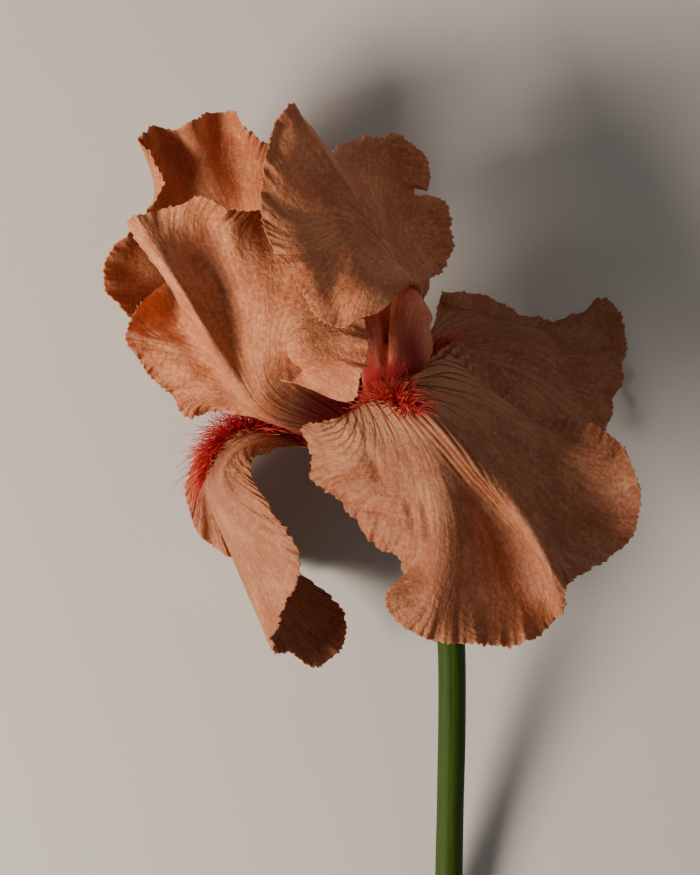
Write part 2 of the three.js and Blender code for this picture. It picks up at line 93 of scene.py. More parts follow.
def sheet_places(points: Array) -> Array:
    """Where points in millimetres stand on the sheet, as right and down. It undoes on_sheet."""
    narrowing = SHEET_STEP * (1 - points[..., 2:] / EYE_HEIGHT)
    return np.array(SHEET_CENTRE) + points[..., :2] * (1, -1) / narrowing


def to_world(points: Array) -> Array:
    """Moves points from the sheet's frame, in millimetres, to the root's frame, in metres."""
    return (points + np.array([*BLOOM_SHIFT, -TABLE_HEIGHT])) * MILLIMETRE


def heading(*parts: float) -> Array:
    """The direction with these parts, as a vector one long."""
    return np.array(parts) / np.linalg.norm(parts)


# The flower's own frame: the throat and three directions square to one another
THROAT = on_sheet([(375, 450, 0)])[0]
AXIS = heading(-0.462, 0.870, 0.174)
FRONT = heading(0.082, -0.154, 0.985)
SIDE = np.cross(AXIS, FRONT)


def flower_points(height: float, radius: float, degrees: float | Array) -> Array:
    """Points round the flower's axis.

    A point is throat + height * axis + radius * (cos(angle) * front + sin(angle) * side).

    Args:
        height: millimetres along the axis from the throat.
        radius: millimetres from the axis.
        degrees: one angle for each point.

    Returns:
        An array of points in millimetres.
    """
    angles = np.radians(np.atleast_1d(degrees))[:, None]
    spokes = np.cos(angles) * FRONT + np.sin(angles) * SIDE
    return THROAT + height * AXIS + radius * spokes


# Shared formulas


def smooth_step(value: Array, low: float, high: float) -> Array:
    """0 below low and 1 above high, and 3t^2 - 2t^3 between them."""
    share = np.clip((value - low) / (high - low), 0, 1)
    return share * share * (3 - 2 * share)


def fading(distance: Array, depth: float, power: float) -> Array:
    """1 at no distance, falling as exp(-(distance / depth)^power)."""
    return np.exp(-(distance / depth) ** power)


def smooth_curve(points: Array, at: Array) -> Array:
    """A smooth curve through points, with the same share of it between each two.

    Between two points it is the cubic that leaves each of them along half the step from the
    point before it to the point after it. The ends carry on straight.

    Args:
        points: the points to pass, along the first axis.
        at: where on the curve, from 0 to 1.

    Returns:
        The curve's points, one for each value of at.
    """
    count = len(points)
    padded = np.concatenate([2 * points[:1] - points[1:2], points, 2 * points[-1:] - points[-2:-1]])
    along = np.clip(at * (count - 1), 0, count - 1)
    index = np.minimum(along.astype(int), count - 2)
    t = (along - index).reshape((-1,) + (1,) * (points.ndim - 1))
    before, start, end, after = (padded[index + k] for k in range(4))
    leave, arrive = (end - before) / 2, (after - start) / 2
    return ((2 * start - 2 * end + leave + arrive) * t ** 3
            + (3 * end - 3 * start - 2 * leave - arrive) * t ** 2 + leave * t + start)


def unit(vectors: Array) -> Array:
    """The vectors, each divided by its length."""
    return vectors / np.maximum(np.linalg.norm(vectors, axis=-1, keepdims=True), 1e-9)


def paired(first: Array, second: Array) -> Array:
    """Two coordinates at each point of a grid, from arrays that broadcast together."""
    return np.stack(np.broadcast_arrays(first, second), -1)


def evened(grid: Array, passes: int) -> Array:
    """Evens a grid out, with its rims held in place.

    Each pass moves a point half way to the middle of its two neighbours, first along the grid
    and then across it.

    Args:
        grid: lines by columns by 3.
        passes: how many times.

    Returns:
        A new grid.
    """
    grid = grid.copy()
    for _ in range(passes):
        grid[1:-1] += 0.5 * ((grid[:-2] + grid[2:]) / 2 - grid[1:-1])
        grid[:, 1:-1] += 0.5 * ((grid[:, :-2] + grid[:, 2:]) / 2 - grid[:, 1:-1])
    return grid


def loft(rows: list[Array], u: Array, v: Array, passes: int) -> Array:
    """A smooth sheet through rows of points: smooth curves across the rows, then along them.

    Args:
        rows: points in millimetres, row by row from the claw to the margin.
        u: shares of the way along, one for each line of the grid.
        v: shares of the way across, one for each column.
        passes: how often the grid is evened out.

    Returns:
        The grid, lines by columns by 3.
    """
    across = np.stack([smooth_curve(row, v) for row in rows])
    return evened(smooth_curve(across, u), passes)


def grid_normals(grid: Array) -> Array:
    """The way each point of a grid faces: the step across it crossed with the step along it."""
    normals = unit(np.cross(np.gradient(grid, axis=1), np.gradient(grid, axis=0)))
    return unit(evened(normals, 3))


def travelled(grid: Array, axis: int) -> Array:
    """How far each point lies from the grid's first line, as the sum of the steps on the way.

    Args:
        grid: lines by columns by 3.
        axis: 0 to go along the grid and 1 to go across it.

    Returns:
        The distance at each point, in the grid's unit.
    """
    steps = np.linalg.norm(np.diff(grid, axis=axis), axis=-1)
    start = np.zeros_like(np.take(steps, [0], axis=axis))
    return np.concatenate([start, np.cumsum(steps, axis=axis)], axis=axis)


def reaches(grid: Array) -> tuple[Array, Array, Array]:
    """How far each point of a petal-like grid lies from its edges.

    Args:
        grid: lines by columns by 3.

    Returns:
        The distances to the margin, which is the last line, and to the left and right edges.
    """
    along = travelled(grid, 0)
    across = travelled(grid, 1)
    return along[-1:] - along, across, across[:, -1:] - across


def wander(position: Array, wavelength: float, seed: int, waves: int = 5) -> Array:
    """A wave that never repeats, between about -1 and 1.

    It is the mean of a few sines whose wavelengths run from 0.6 to 1.7 times the given one, with
    drawn phases, times 1.6.

    Args:
        position: where along the line, in the wavelength's unit.
        wavelength: the middle wavelength.
        seed: what the phases are drawn from.
        waves: how many sines.

    Returns:
        The height of the wave at each position.
    """
    random = np.random.default_rng(seed)
    total = np.zeros_like(position)
    for _ in range(waves):
        length = wavelength * random.uniform(0.6, 1.7)
        total = total + np.sin(2 * np.pi * (position / length + random.uniform()))
    return 1.6 * total / waves


@dataclass(frozen=True)
class EdgeWave:
    """A wandering wave along an edge, which fades with the distance from it."""

    height: float
    length: float
    reach: float
    power: float = 1.4

    def at(self, position: Array, distance: Array, seed: int) -> Array:
        """height * wander(position) * exp(-(distance / reach)^power)."""
        wave = self.height * wander(position, self.length, seed)
        return wave * fading(distance, self.reach, self.power)


@dataclass(frozen=True)
class EdgeTeeth:
    """An uneven row of small pointed teeth along an edge, which is pulled in between them."""

    length: float
    pitch: float
    reach: float
    pulled_in: float

    def at(self, position: Array, distance: Array, seed: int) -> Array:
        """How far the teeth stretch the sheet outwards.

        A tooth is (1 - |sin(pi * position / pitch + a slow wander)|)^1.5, and a second wander
        lets some of them fade. The stretch is length * (tooth - pulled_in), and it fades with
        exp(-(distance / reach)^2).

        Args:
            position: how far along the edge.
            distance: how far from the edge.
            seed: what the wanders are drawn from.

        Returns:
            The stretch at each place, below 0 where it goes inwards.
        """
        phase = np.pi * position / self.pitch + 1.4 * wander(position, 6 * self.pitch, seed)
        height = 0.55 + 0.45 * wander(position, 3.5 * self.pitch, seed + 1)
        tooth = (1 - np.abs(np.sin(phase))) ** 1.5 * np.clip(height, 0.05, 1)
        return self.length * (tooth - self.pulled_in) * fading(distance, self.reach, 2)


def ring_turns(spokes: int) -> Array:
    """The turn of each spoke of a ring, in radians."""
    return np.linspace(0, 2 * np.pi, spokes, endpoint=False)


def spokes_round(ahead: Array, across: Array, turns: Array) -> Array:
    """Spokes square to each direction ahead: cos(turn) * across + sin(turn) * ahead x across."""
    around = np.cross(ahead, across)
    return np.cos(turns) * across[:, None] + np.sin(turns) * around[:, None]


# Meshes


@dataclass
class Body:
    """Vertices and faces of closed shells, with what their material reads at each vertex."""

    points: Array
    quads: Array
    triangles: Array
    uv: Array
    masks: dict[str, Array]


def joined(bodies: list[Body]) -> Body:
    """Puts several bodies into one, one after the other.

    Args:
        bodies: the bodies, which have the same masks.

    Returns:
        One body with all their shells.
    """
    starts = np.cumsum([0] + [len(body.points) for body in bodies])
    names = bodies[0].masks.keys()
    return Body(
        points=np.concatenate([body.points for body in bodies]),
        quads=np.concatenate([body.quads + start for body, start in zip(bodies, starts)]),
        triangles=np.concatenate([body.triangles + start for body, start in zip(bodies, starts)]),
        uv=np.concatenate([body.uv for body in bodies]),
        masks={name: np.concatenate([body.masks[name] for body in bodies]) for name in names},
    )


def sheet_body(grid: Array, thickness: Array, uv: Array, masks: dict[str, Array]) -> Body:
    """A closed sheet round a grid.

    The upper face is grid + normal * thickness / 2, the lower face is grid - normal * thickness
    / 2, and a strip of faces closes the rim.

    Args:
        grid: the middle surface, in metres.
        thickness: the sheet's thickness at each grid point, in metres.
        uv: two material coordinates at each grid point.
        masks: named values that broadcast over the grid.

    Returns:
        The closed body.
    """
    rows, columns = thickness.shape
    shift = rows * columns
    offset = grid_normals(grid) * thickness[..., None] / 2
    upper = np.arange(shift).reshape(rows, columns)
    top = np.stack([upper[:-1, :-1], upper[:-1, 1:], upper[1:, 1:], upper[1:, :-1]], -1)
    bottom = top[..., [0, 3, 2, 1]] + shift
    rim = np.concatenate([upper[:-1, 0], upper[-1, :-1], upper[:0:-1, -1], upper[0, :0:-1]])
    following = np.roll(rim, -1)
    strip = np.stack([rim, following, following + shift, rim + shift], -1)
    return Body(
        points=np.concatenate([(grid + offset).reshape(-1, 3), (grid - offset).reshape(-1, 3)]),
        quads=np.concatenate([top.reshape(-1, 4), bottom.reshape(-1, 4), strip]),
        triangles=np.zeros((0, 3), int),
        uv=np.concatenate([uv.reshape(-1, 2)] * 2),
        masks={name: np.tile(np.broadcast_to(mask, upper.shape).ravel(), 2)
               for name, mask in masks.items()},
    )


def round_body(line: Array, radius: Array, masks: dict[str, Array]) -> Body:
    """A closed body round a line.

    Ring i is line[i] + radius[i, k] * spoke k, with the spokes square to the line. A fan of
    triangles closes each end.

    Args:
        line: the centre of each ring, in metres.
        radius: one radius for each ring and spoke, in metres.
        masks: named values that broadcast over rings and spokes.

    Returns:
        The closed body. Its uv holds the turn and the share of the length.
    """
    rings, spokes = radius.shape
    ahead = unit(np.gradient(line, axis=0))
    across = unit(np.cross(np.broadcast_to(FRONT, ahead.shape), ahead))
    turns = ring_turns(spokes)
    points = line[:, None] + radius[..., None] * spokes_round(ahead, across, turns[:, None])
    index = np.arange(rings * spokes).reshape(rings, spokes)
    beside = np.roll(index, -1, axis=1)
    first, last = rings * spokes, rings * spokes + 1
    uv = paired(turns / (2 * np.pi), np.linspace(0, 1, rings)[:, None])
    spread = {name: np.broadcast_to(mask, radius.shape) for name, mask in masks.items()}
    return Body(
        points=np.concatenate([points.reshape(-1, 3), line[:1], line[-1:]]),
        quads=np.stack([index[:-1], beside[:-1], beside[1:], index[1:]], -1).reshape(-1, 4),
        triangles=np.concatenate([
            np.stack([np.full(spokes, first), beside[0], index[0]], -1),
            np.stack([np.full(spokes, last), index[-1], beside[-1]], -1),
        ]),
        uv=np.concatenate([uv.reshape(-1, 2), [[0.5, 0.0], [0.5, 1.0]]]),
        masks={name: np.concatenate([mask.ravel(), [mask[0].mean(), mask[-1].mean()]])
               for name, mask in spread.items()},
    )


def hair_body(paths: Array, radius: Array, tone: Array) -> Body:
    """Many thin three-sided hairs in one body.

    Ring j of a hair is path[j] + radius[j] * spoke, for three spokes square to the hair's first
    step, and a triangle closes each end.

    Args:
        paths: hairs by rings by 3, in metres.
        radius: one radius for each hair and ring, in metres.
        tone: a drawn value for each hair.

    Returns:
        The body, with masks "tip", the share of the hair's length, and "tone".
    """
    hairs, rings = radius.shape
    ahead = unit(paths[:, 1] - paths[:, 0])
    across = unit(np.cross(ahead, FRONT + 0.3 * SIDE))
    turns = np.array([0, 2, 4]) * np.pi / 3
    spokes = spokes_round(ahead, across, turns[:, None])
    points = paths[:, :, None] + radius[..., None, None] * spokes[:, None]
    index = np.arange(hairs * rings * 3).reshape(hairs, rings, 3)
    beside = np.roll(index, -1, axis=2)
    quads = np.stack([index[:, :-1], beside[:, :-1], beside[:, 1:], index[:, 1:]], -1)
    caps = np.concatenate([index[:, 0, ::-1], index[:, -1]])
    tip = np.broadcast_to(np.linspace(0, 1, rings)[None, :, None], index.shape).ravel()
    tones = np.broadcast_to(tone[:, None, None], index.shape).ravel()
    return Body(
        points=points.reshape(-1, 3),
        quads=quads.reshape(-1, 4),
        triangles=caps.reshape(-1, 3),
        uv=np.stack([tones, tip], -1),
        masks={"tip": tip, "tone": tones},
    )


def make_piece(name: str, body: Body, material: bpy.types.Material,
               nodes: tuple[str, ...]) -> bpy.types.Object:
    """Makes a Blender object from a body, and seats it in the frame.

    Args:
        name: the piece's name.
        body: its vertices, faces and masks.
        material: its finish.
        nodes: the CAD nodes that it stands for.

    Returns:
        The new object, at the origin and riding on the root body.
    """
    mesh = bpy.data.meshes.new(name)
    corners = np.concatenate([body.quads.ravel(), body.triangles.ravel()]).astype(np.int32)
    sizes = np.concatenate([np.full(len(body.quads), 4), np.full(len(body.triangles), 3)])
    starts = np.concatenate([[0], np.cumsum(sizes)[:-1]]).astype(np.int32)
    mesh.vertices.add(len(body.points))
    mesh.vertices.foreach_set("co", body.points.astype(np.float32).ravel())
    mesh.loops.add(len(corners))
    mesh.loops.foreach_set("vertex_index", corners)
    mesh.polygons.add(len(sizes))
    mesh.polygons.foreach_set("loop_start", starts)
    mesh.update(calc_edges=True)
    mesh.validate()
    mesh.shade_smooth()
    uv_map = mesh.uv_layers.new(name="UVMap")
    uv_map.data.foreach_set("uv", body.uv[corners].astype(np.float32).ravel())
    for mask_name, values in body.masks.items():
        attribute = mesh.attributes.new(mask_name, "FLOAT", "POINT")
        attribute.data.foreach_set("value", values.astype(np.float32))
    mesh.materials.append(material)
    piece = bpy.data.objects.new(name, mesh)
    bpy.context.scene.collection.objects.link(piece)
    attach(piece, "root")
    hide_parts(*nodes)
    faces = 2 * len(body.quads) + len(body.triangles)
    LOG.info("%s: %d triangles, stands for %s", name, faces, ", ".join(nodes))
    return piece


# Materials


class Wiring:
    """Adds nodes to a tree and returns their sockets, so that a formula reads as a formula."""

    def __init__(self, tree: bpy.types.NodeTree) -> None:
        """Starts on an empty tree."""
        self.tree = tree
        tree.nodes.clear()

    def feed(self, socket: Socket, value: object) -> None:
        """Links a socket to a value's socket, or sets the value on it.

        Args:
            socket: the input to feed.
            value: an output to link it to, or a number, a vector or a colour.
        """
        if isinstance(value, Socket):
            self.tree.links.new(value, socket)
        elif socket.type == "RGBA":
            socket.default_value = (*value, 1.0)
        else:
            socket.default_value = value

    def node(self, kind: str, values: Values, **settings: object) -> bpy.types.Node:
        """Adds a node, sets its properties and feeds its inputs.

        Args:
            kind: the node's type.
            values: what feeds each input, by the input's name or number.
            settings: the node's properties.

        Returns:
            The new node.
        """
        node = self.tree.nodes.new(kind)
        for key, value in settings.items():
            setattr(node, key, value)
        for key, value in values.items():
            self.feed(node.inputs[key], value)
        return node

    def math(self, operation: str, *values: object) -> Socket:
        """One Math node over the values."""
        return self.node("ShaderNodeMath", dict(enumerate(values)), operation=operation).outputs[0]

    def product(self, *values: object) -> Socket:
        """The values' product."""
        return self.math("MULTIPLY", *values)

    def scaled_sum(self, value: object, scale: object, start: object) -> Socket:
        """value * scale + start."""
        return self.math("MULTIPLY_ADD", value, scale, start)

    def ramp(self, value: object, low: object, high: object, start: float = 0.0,
             end: float = 1.0) -> Socket:
        """Goes smoothly from start at low to end at high."""
        values = {"Value": value, "From Min": low, "From Max": high, "To Min": start, "To Max": end}
        return self.node("ShaderNodeMapRange", values, interpolation_type="SMOOTHSTEP").outputs[0]

    def mix(self, share: object, first: object, second: object) -> Socket:
        """Mixes two colours."""
        values = {0: share, 6: first, 7: second}
        return self.node("ShaderNodeMix", values, data_type="RGBA", clamp_result=True).outputs[2]

    def mask(self, name: str) -> Socket:
        """The piece's own mask of that name."""
        return self.node("ShaderNodeAttribute", {}, attribute_name=name).outputs["Fac"]

    def stretched(self, vector: object, scale: Place) -> Socket:
        """The vector, scaled by a Mapping node."""
        return self.node("ShaderNodeMapping", {"Vector": vector, "Scale": scale}).outputs[0]

    def coordinates(self, kind: str, scale: Place = (1.0, 1.0, 1.0)) -> Socket:
        """Object or UV coordinates, stretched by a Mapping node."""
        return self.stretched(self.node("ShaderNodeTexCoord", {}).outputs[kind], scale)

    def noise(self, vector: object, scale: float, detail: float, rough: float = 0.55) -> Socket:
        """A noise texture's value, about 0 to 1."""
        values = {"Vector": vector, "Scale": scale, "Detail": detail, "Roughness": rough}
        return self.node("ShaderNodeTexNoise", values).outputs[0]

    def streaks(self, vector: object, scale: Place) -> Socket:
        """A noise drawn out along the petal, on a vector that the scale stretches."""
        return self.noise(self.stretched(vector, scale), 1.0, 2.0)

    def bump(self, height: object, depth: float) -> Socket:
        """The normal over a height of 0 to 1 that stands for the depth, in metres."""
        values = {"Strength": 1.0, "Distance": depth, "Height": height}
        return self.node("ShaderNodeBump", values).outputs[0]

    def group(self, tree: bpy.types.NodeTree, values: Values) -> bpy.types.Node:
        """A node group with its inputs fed."""
        return self.node("ShaderNodeGroup", values, node_tree=tree)

    def surface(self, values: Values, **settings: object) -> None:
        """Ends a material: a Principled BSDF with its inputs fed, and the output it goes to."""
        shader = self.node("ShaderNodeBsdfPrincipled", values, **settings)
        self.node("ShaderNodeOutputMaterial", {"Surface": shader.outputs[0]})


def new_material(name: str) -> tuple[bpy.types.Material, Wiring]:
    """Starts a material.

    Args:
        name: the material's name.

    Returns:
        The material and the wiring of its empty node tree.
    """
    material = bpy.data.materials.new(name)
    material.use_nodes = True
    return material, Wiring(material.node_tree)


def new_group(name: str, inputs: dict[str, float | None],
              outputs: tuple[str, ...]) -> tuple[Wiring, object, object]:
    """Starts a shader node group.

    Args:
        name: the group's name.
        inputs: for each input its default, or None for a vector.
        outputs: the names of the outputs, which are all values.

    Returns:
        The group's wiring, its inputs' sockets and its output node's sockets.
    """
    wire = Wiring(bpy.data.node_groups.new(name, "ShaderNodeTree"))
    interface = wire.tree.interface
    for label, default in inputs.items():
        kind = "NodeSocketVector" if default is None else "NodeSocketFloat"
        socket = interface.new_socket(label, in_out="INPUT", socket_type=kind)
        if default is not None:
            socket.default_value = default
    for label in outputs:
        interface.new_socket(label, in_out="OUTPUT", socket_type="NodeSocketFloat")
    return wire, wire.node("NodeGroupInput", {}).outputs, wire.node("NodeGroupOutput", {}).inputs


@dataclass(frozen=True)
class VeinFan:
    """Veins that fork again and again on their way from the claw to the margin.

    A scale is how many waves go on a first vein's width and how many on the petal's length.
    """

    slow_scale: Place = (0.35, 5.0, 1.0)
    quick_scale: Place = (1.1, 34.0, 1.0)
    quick_sway: float = 0.16
    fork_scatter: float = 0.12
    fork_length: float = 0.24
    forks: int = 4
    first_spread: float = 0.25
    thinning: float = 1.2
    line_core: float = 0.4
    line_edge: float = 2.0
    furrow_width: float = 5.0
    broken_scale: Place = (3.0, 40.0, 1.0)
    dash_scale: Place = (7.0, 30.0, 1.0)

    def tree(self) -> bpy.types.NodeTree:
        """Builds the node group.

        The distance to the nearest first vein is folded at each fork: distance = |distance -
        spread|, where spread grows from 0 to half the room that is left. A vein shows where the
        last distance is under the width. The dashes are short streaks between the veins.

        Returns:
            The group.
        """
        wire, given, out = new_group("vein_fan", {
            "Vector": None, "Width": 0.012, "Wander": 0.35, "First Fork": 0.3, "Fork Step": 0.16,
        }, ("Veins", "Furrows", "Dashes"))
        vector = given["Vector"]
        split = wire.node("ShaderNodeSeparateXYZ", {0: vector})
        along = split.outputs[1]
        slow = wire.math("SUBTRACT", wire.streaks(vector, self.slow_scale), 0.5)
        quick = wire.math("SUBTRACT", wire.streaks(vector, self.quick_scale), 0.5)
        swayed = wire.scaled_sum(slow, given["Wander"], split.outputs[0])
        across = wire.scaled_sum(quick, self.quick_sway, swayed)
        vein = wire.math("FLOOR", across)
        chance = wire.node("ShaderNodeTexWhiteNoise", {"W": vein}, noise_dimensions="1D")
        distance = wire.math("ABSOLUTE", wire.math("SUBTRACT", wire.math("FRACT", across), 0.5))
        fork = wire.scaled_sum(chance.outputs[0], self.fork_scatter, given["First Fork"])
        for step in range(self.forks):
            fork_end = wire.math("ADD", fork, self.fork_length)
            spread = wire.ramp(along, fork, fork_end, 0.0, self.first_spread / 2 ** step)
            distance = wire.math("ABSOLUTE", wire.math("SUBTRACT", distance, spread))
            fork = wire.math("ADD", fork, given["Fork Step"])
        slim = wire.math("DIVIDE", given["Width"], wire.math("POWER", along, self.thinning))
        core, edge = wire.product(slim, self.line_core), wire.product(slim, self.line_edge)
        broken = wire.ramp(wire.streaks(vector, self.broken_scale), 0.25, 0.5, 0.45, 1.0)
        wire.feed(out["Veins"], wire.product(wire.ramp(distance, core, edge, 1.0, 0.0), broken))
        furrow = wire.product(slim, self.furrow_width)
        wire.feed(out["Furrows"], wire.ramp(distance, 0.0, furrow))
        wire.feed(out["Dashes"], wire.ramp(wire.streaks(vector, self.dash_scale), 0.6, 0.72))
        return wire.tree


@dataclass(frozen=True)
class Tissue:
    """The crepe of living tissue: cells drawn out along the veins, soft puckers and mottling.

    Heights are in millimetres, and the scales without a direction are waves in a metre.
    """

    cell_scale: Place = (6.0, 15.0, 1.0)
    cell_height: float = 0.6
    pucker_scale: float = 900.0
    pucker_height: float = 0.42
    grain_scale: float = 3000.0
    grain_height: float = 0.02
    cloud_scale: float = 95.0
    cloud_share: float = 0.55

    def tree(self) -> bpy.types.NodeTree:
        """Builds the node group.

        Relief is the sum of cells, puckers and fine grain, each a noise of its own size times
        its height. Mottling is a mix of broad clouds and the puckers.

        Returns:
            The group.
        """
        wire, given, out = new_group(
            "tissue", {"Vector": None, "Object": None}, ("Relief", "Mottle", "Grain"))
        cells = wire.noise(wire.stretched(given["Vector"], self.cell_scale), 1.0, 6.0, 0.7)
        puckers = wire.noise(given["Object"], self.pucker_scale, 3.0, 0.6)
        grain = wire.noise(given["Object"], self.grain_scale, 2.0, 0.6)
        clouds = wire.noise(given["Object"], self.cloud_scale, 4.0, 0.6)
        soft = wire.scaled_sum(puckers, self.pucker_height, wire.product(cells, self.cell_height))
        mottle = wire.scaled_sum(
            puckers, 1 - self.cloud_share, wire.product(clouds, self.cloud_share))
        wire.feed(out["Relief"], wire.scaled_sum(grain, self.grain_height, soft))
        wire.feed(out["Mottle"], wire.ramp(mottle, 0.40, 0.62))
        wire.feed(out["Grain"], wire.ramp(cells, 0.35, 0.65))
        return wire.tree


class Groups:
    """The shader node groups that several materials share, each built once."""

    def __init__(self) -> None:
        """Builds the groups."""
        self.vein_fan = VeinFan().tree()
        self.tissue = Tissue().tree()


@dataclass(frozen=True)
class TissueFinish:
    """A petal's finish: soft, veined and a little see-through. Depths are in millimetres.

    Each "show" is the largest share of a colour that lies over the others. The roughness goes
    from smooth to rough over the tissue's grain.
    """

    name: str
    body: Colour
    pale: Colour
    haft: Colour
    # The throat's deep red, darkened as painted shade.
    throat_red_shade: Colour
    vein: Colour
    faint: Colour
    rim: Colour
    dark_show: float
    faint_show: float = 0.3
    streak_show: float = 0.42
    haft_show: float = 0.7
    dash_show: float = 0.7
    vein_width: float = 0.019
    first_fork: float = 0.3
    furrow: float = 0.08
    comb: float = 0.14
    smooth: float = 0.47
    rough: float = 0.65
    scatter: float = 0.2
    scatter_radius: Place = (1.0, 0.42, 0.22)
    sheen: float = 0.05
    sheen_roughness: float = 0.4
    sheen_tint: Colour = (1.0, 0.8, 0.65)
    specular: float = 0.35

    def colour(self, wire: Wiring, fan: bpy.types.Node, tissue: bpy.types.Node) -> Socket:
        """The colour.

        It goes from body to pale over the mottling, to faint in streaks where the tissue's cells lie
        low, which is painted shade in the crepe's hollows with some pigment, to the haft's colour
        where the mask "haft" says so, to vein along the veins and dashes there and to faint along
        them elsewhere, to the throat's deep red, darkened as painted shade, where the mask
        "throat_red_shade" says so, and to rim at the edge, in patches over the grain.

        Args:
            wire: the material's wiring.
            fan: the vein fan.
            tissue: the tissue's relief and mottling.

        Returns:
            The colour's socket.
        """
        veins, grain, haft = fan.outputs["Veins"], tissue.outputs["Grain"], wire.mask("haft")
        # Darker streaks where the tissue's cells lie low: painted shade in the crepe's hollows, with
        # some pigment.
        streaks = wire.product(wire.math("SUBTRACT", 1.0, grain), self.streak_show)
        dashes = wire.product(fan.outputs["Dashes"], self.dash_show)
        dark = wire.product(wire.product(wire.math("MAXIMUM", veins, dashes), haft), self.dark_show)
        # The rim colour along the free edge, in patches over the grain.
        rim_patches = wire.product(wire.mask("edge"), wire.ramp(grain, 0.2, 0.8, 0.2, 0.9))
        skin = wire.mix(tissue.outputs["Mottle"], self.body, self.pale)
        for share, colour in (
            (streaks, self.faint),
            (wire.product(haft, self.haft_show), self.haft),
            (wire.product(veins, self.faint_show), self.faint),
            (dark, self.vein),
            # The throat's own red, darkened there as painted shade.
            (wire.mask("throat_red_shade"), self.throat_red_shade),
            (rim_patches, self.rim),
        ):
            skin = wire.mix(share, skin, colour)
        return skin

    def material(self, groups: Groups) -> bpy.types.Material:
        """Builds the material.

        The relief is the tissue's own, plus furrows between the veins that deepen towards the
        margin, where they stand like the teeth of a comb.

        Args:
            groups: the shared node groups.

        Returns:
            The new material.
        """
        material, wire = new_material(self.name)
        uv = wire.coordinates("UV")
        fan = wire.group(groups.vein_fan, {
            "Vector": uv, "Width": self.vein_width, "First Fork": self.first_fork})
        tissue = wire.group(groups.tissue, {"Vector": uv, "Object": wire.coordinates("Object")})
        depth = wire.scaled_sum(wire.mask("comb"), self.comb, self.furrow)
        height = wire.scaled_sum(fan.outputs["Furrows"], depth, tissue.outputs["Relief"])
        roughness = wire.ramp(tissue.outputs["Grain"], 0.0, 1.0, self.smooth, self.rough)
        wire.surface({
            "Base Color": self.colour(wire, fan, tissue),
            "Roughness": roughness,
            "Normal": wire.bump(height, MILLIMETRE),
            "Subsurface Weight": self.scatter,
            "Subsurface Radius": self.scatter_radius,
            "Subsurface Scale": MILLIMETRE,
            "Sheen Weight": self.sheen,
            "Sheen Roughness": self.sheen_roughness,
            "Sheen Tint": self.sheen_tint,
            "Specular IOR Level": self.specular,
        }, subsurface_method="RANDOM_WALK")
        return material


@dataclass(frozen=True)
class HairFinish:
    """A beard's finish: saturated roots and lighter tips."""

    name: str
    root: Colour
    middle: Colour
    tip: Colour
    roughness: float = 0.45
    scatter: float = 0.15
    scatter_radius: Place = (1.0, 0.3, 0.15)
    scatter_scale: float = 0.6 * MILLIMETRE

    def material(self, groups: Groups) -> bpy.types.Material:
        """Builds the material, whose colour follows the masks "tip" and "tone".

        Args:
            groups: the shared node groups, which hairs don't need.

        Returns:
            The new material.
        """
        material, wire = new_material(self.name)
        tip = wire.mask("tip")
        colour = wire.mix(wire.ramp(tip, 0.0, 0.55), self.root, self.middle)
        pale = wire.product(wire.ramp(tip, 0.5, 1.0), wire.mask("tone"))
        wire.surface({
            "Base Color": wire.mix(pale, colour, self.tip),
            "Roughness": self.roughness,
            "Subsurface Weight": self.scatter,
            "Subsurface Radius": self.scatter_radius,
            "Subsurface Scale": self.scatter_scale,
        })
        return material


@dataclass(frozen=True)
class GreenFinish:
    """The finish of stem, ovary, spathes and stamens: fine lines, blotches and a dry rim.

    lines counts the waves of the lines round the piece, and line_depth is in millimetres.
    """

    name: str
    body: Colour
    pale: Colour
    dry: Colour
    lines: float
    line_depth: float = 0.1
    roughness: float = 0.5
    blotches: float = 0.35
    scatter: float = 0.08
    scatter_radius: Place = (0.5, 1.0, 0.2)
    specular: float = 0.22

    def material(self, groups: Groups) -> bpy.types.Material:
        """Builds the material: lines run along, and the mask "edge" turns it to the dry colour.

        Args:
            groups: the shared node groups.

        Returns:
            The new material.
        """
        material, wire = new_material(self.name)
        strands = wire.noise(wire.coordinates("UV", (self.lines, 2.5, 1.0)), 1.0, 3.0, 0.6)
        tissue = wire.group(groups.tissue, {
            "Vector": wire.coordinates("UV"), "Object": wire.coordinates("Object")})
        colour = wire.mix(wire.ramp(strands, 0.35, 0.7), self.body, self.pale)
        blotch = wire.product(tissue.outputs["Mottle"], self.blotches)
        colour = wire.mix(blotch, colour, self.pale)
        height = wire.scaled_sum(tissue.outputs["Relief"], 2.0, strands)
        roughness = wire.ramp(strands, 0.2, 0.8, self.roughness - 0.1, self.roughness + 0.1)
        wire.surface({
            "Base Color": wire.mix(wire.mask("edge"), colour, self.dry),
            "Roughness": roughness,
            "Normal": wire.bump(height, self.line_depth * MILLIMETRE),
            "Subsurface Weight": self.scatter,
            "Subsurface Radius": self.scatter_radius,
            "Subsurface Scale": MILLIMETRE,
            "Specular IOR Level": self.specular,
        })
        return material
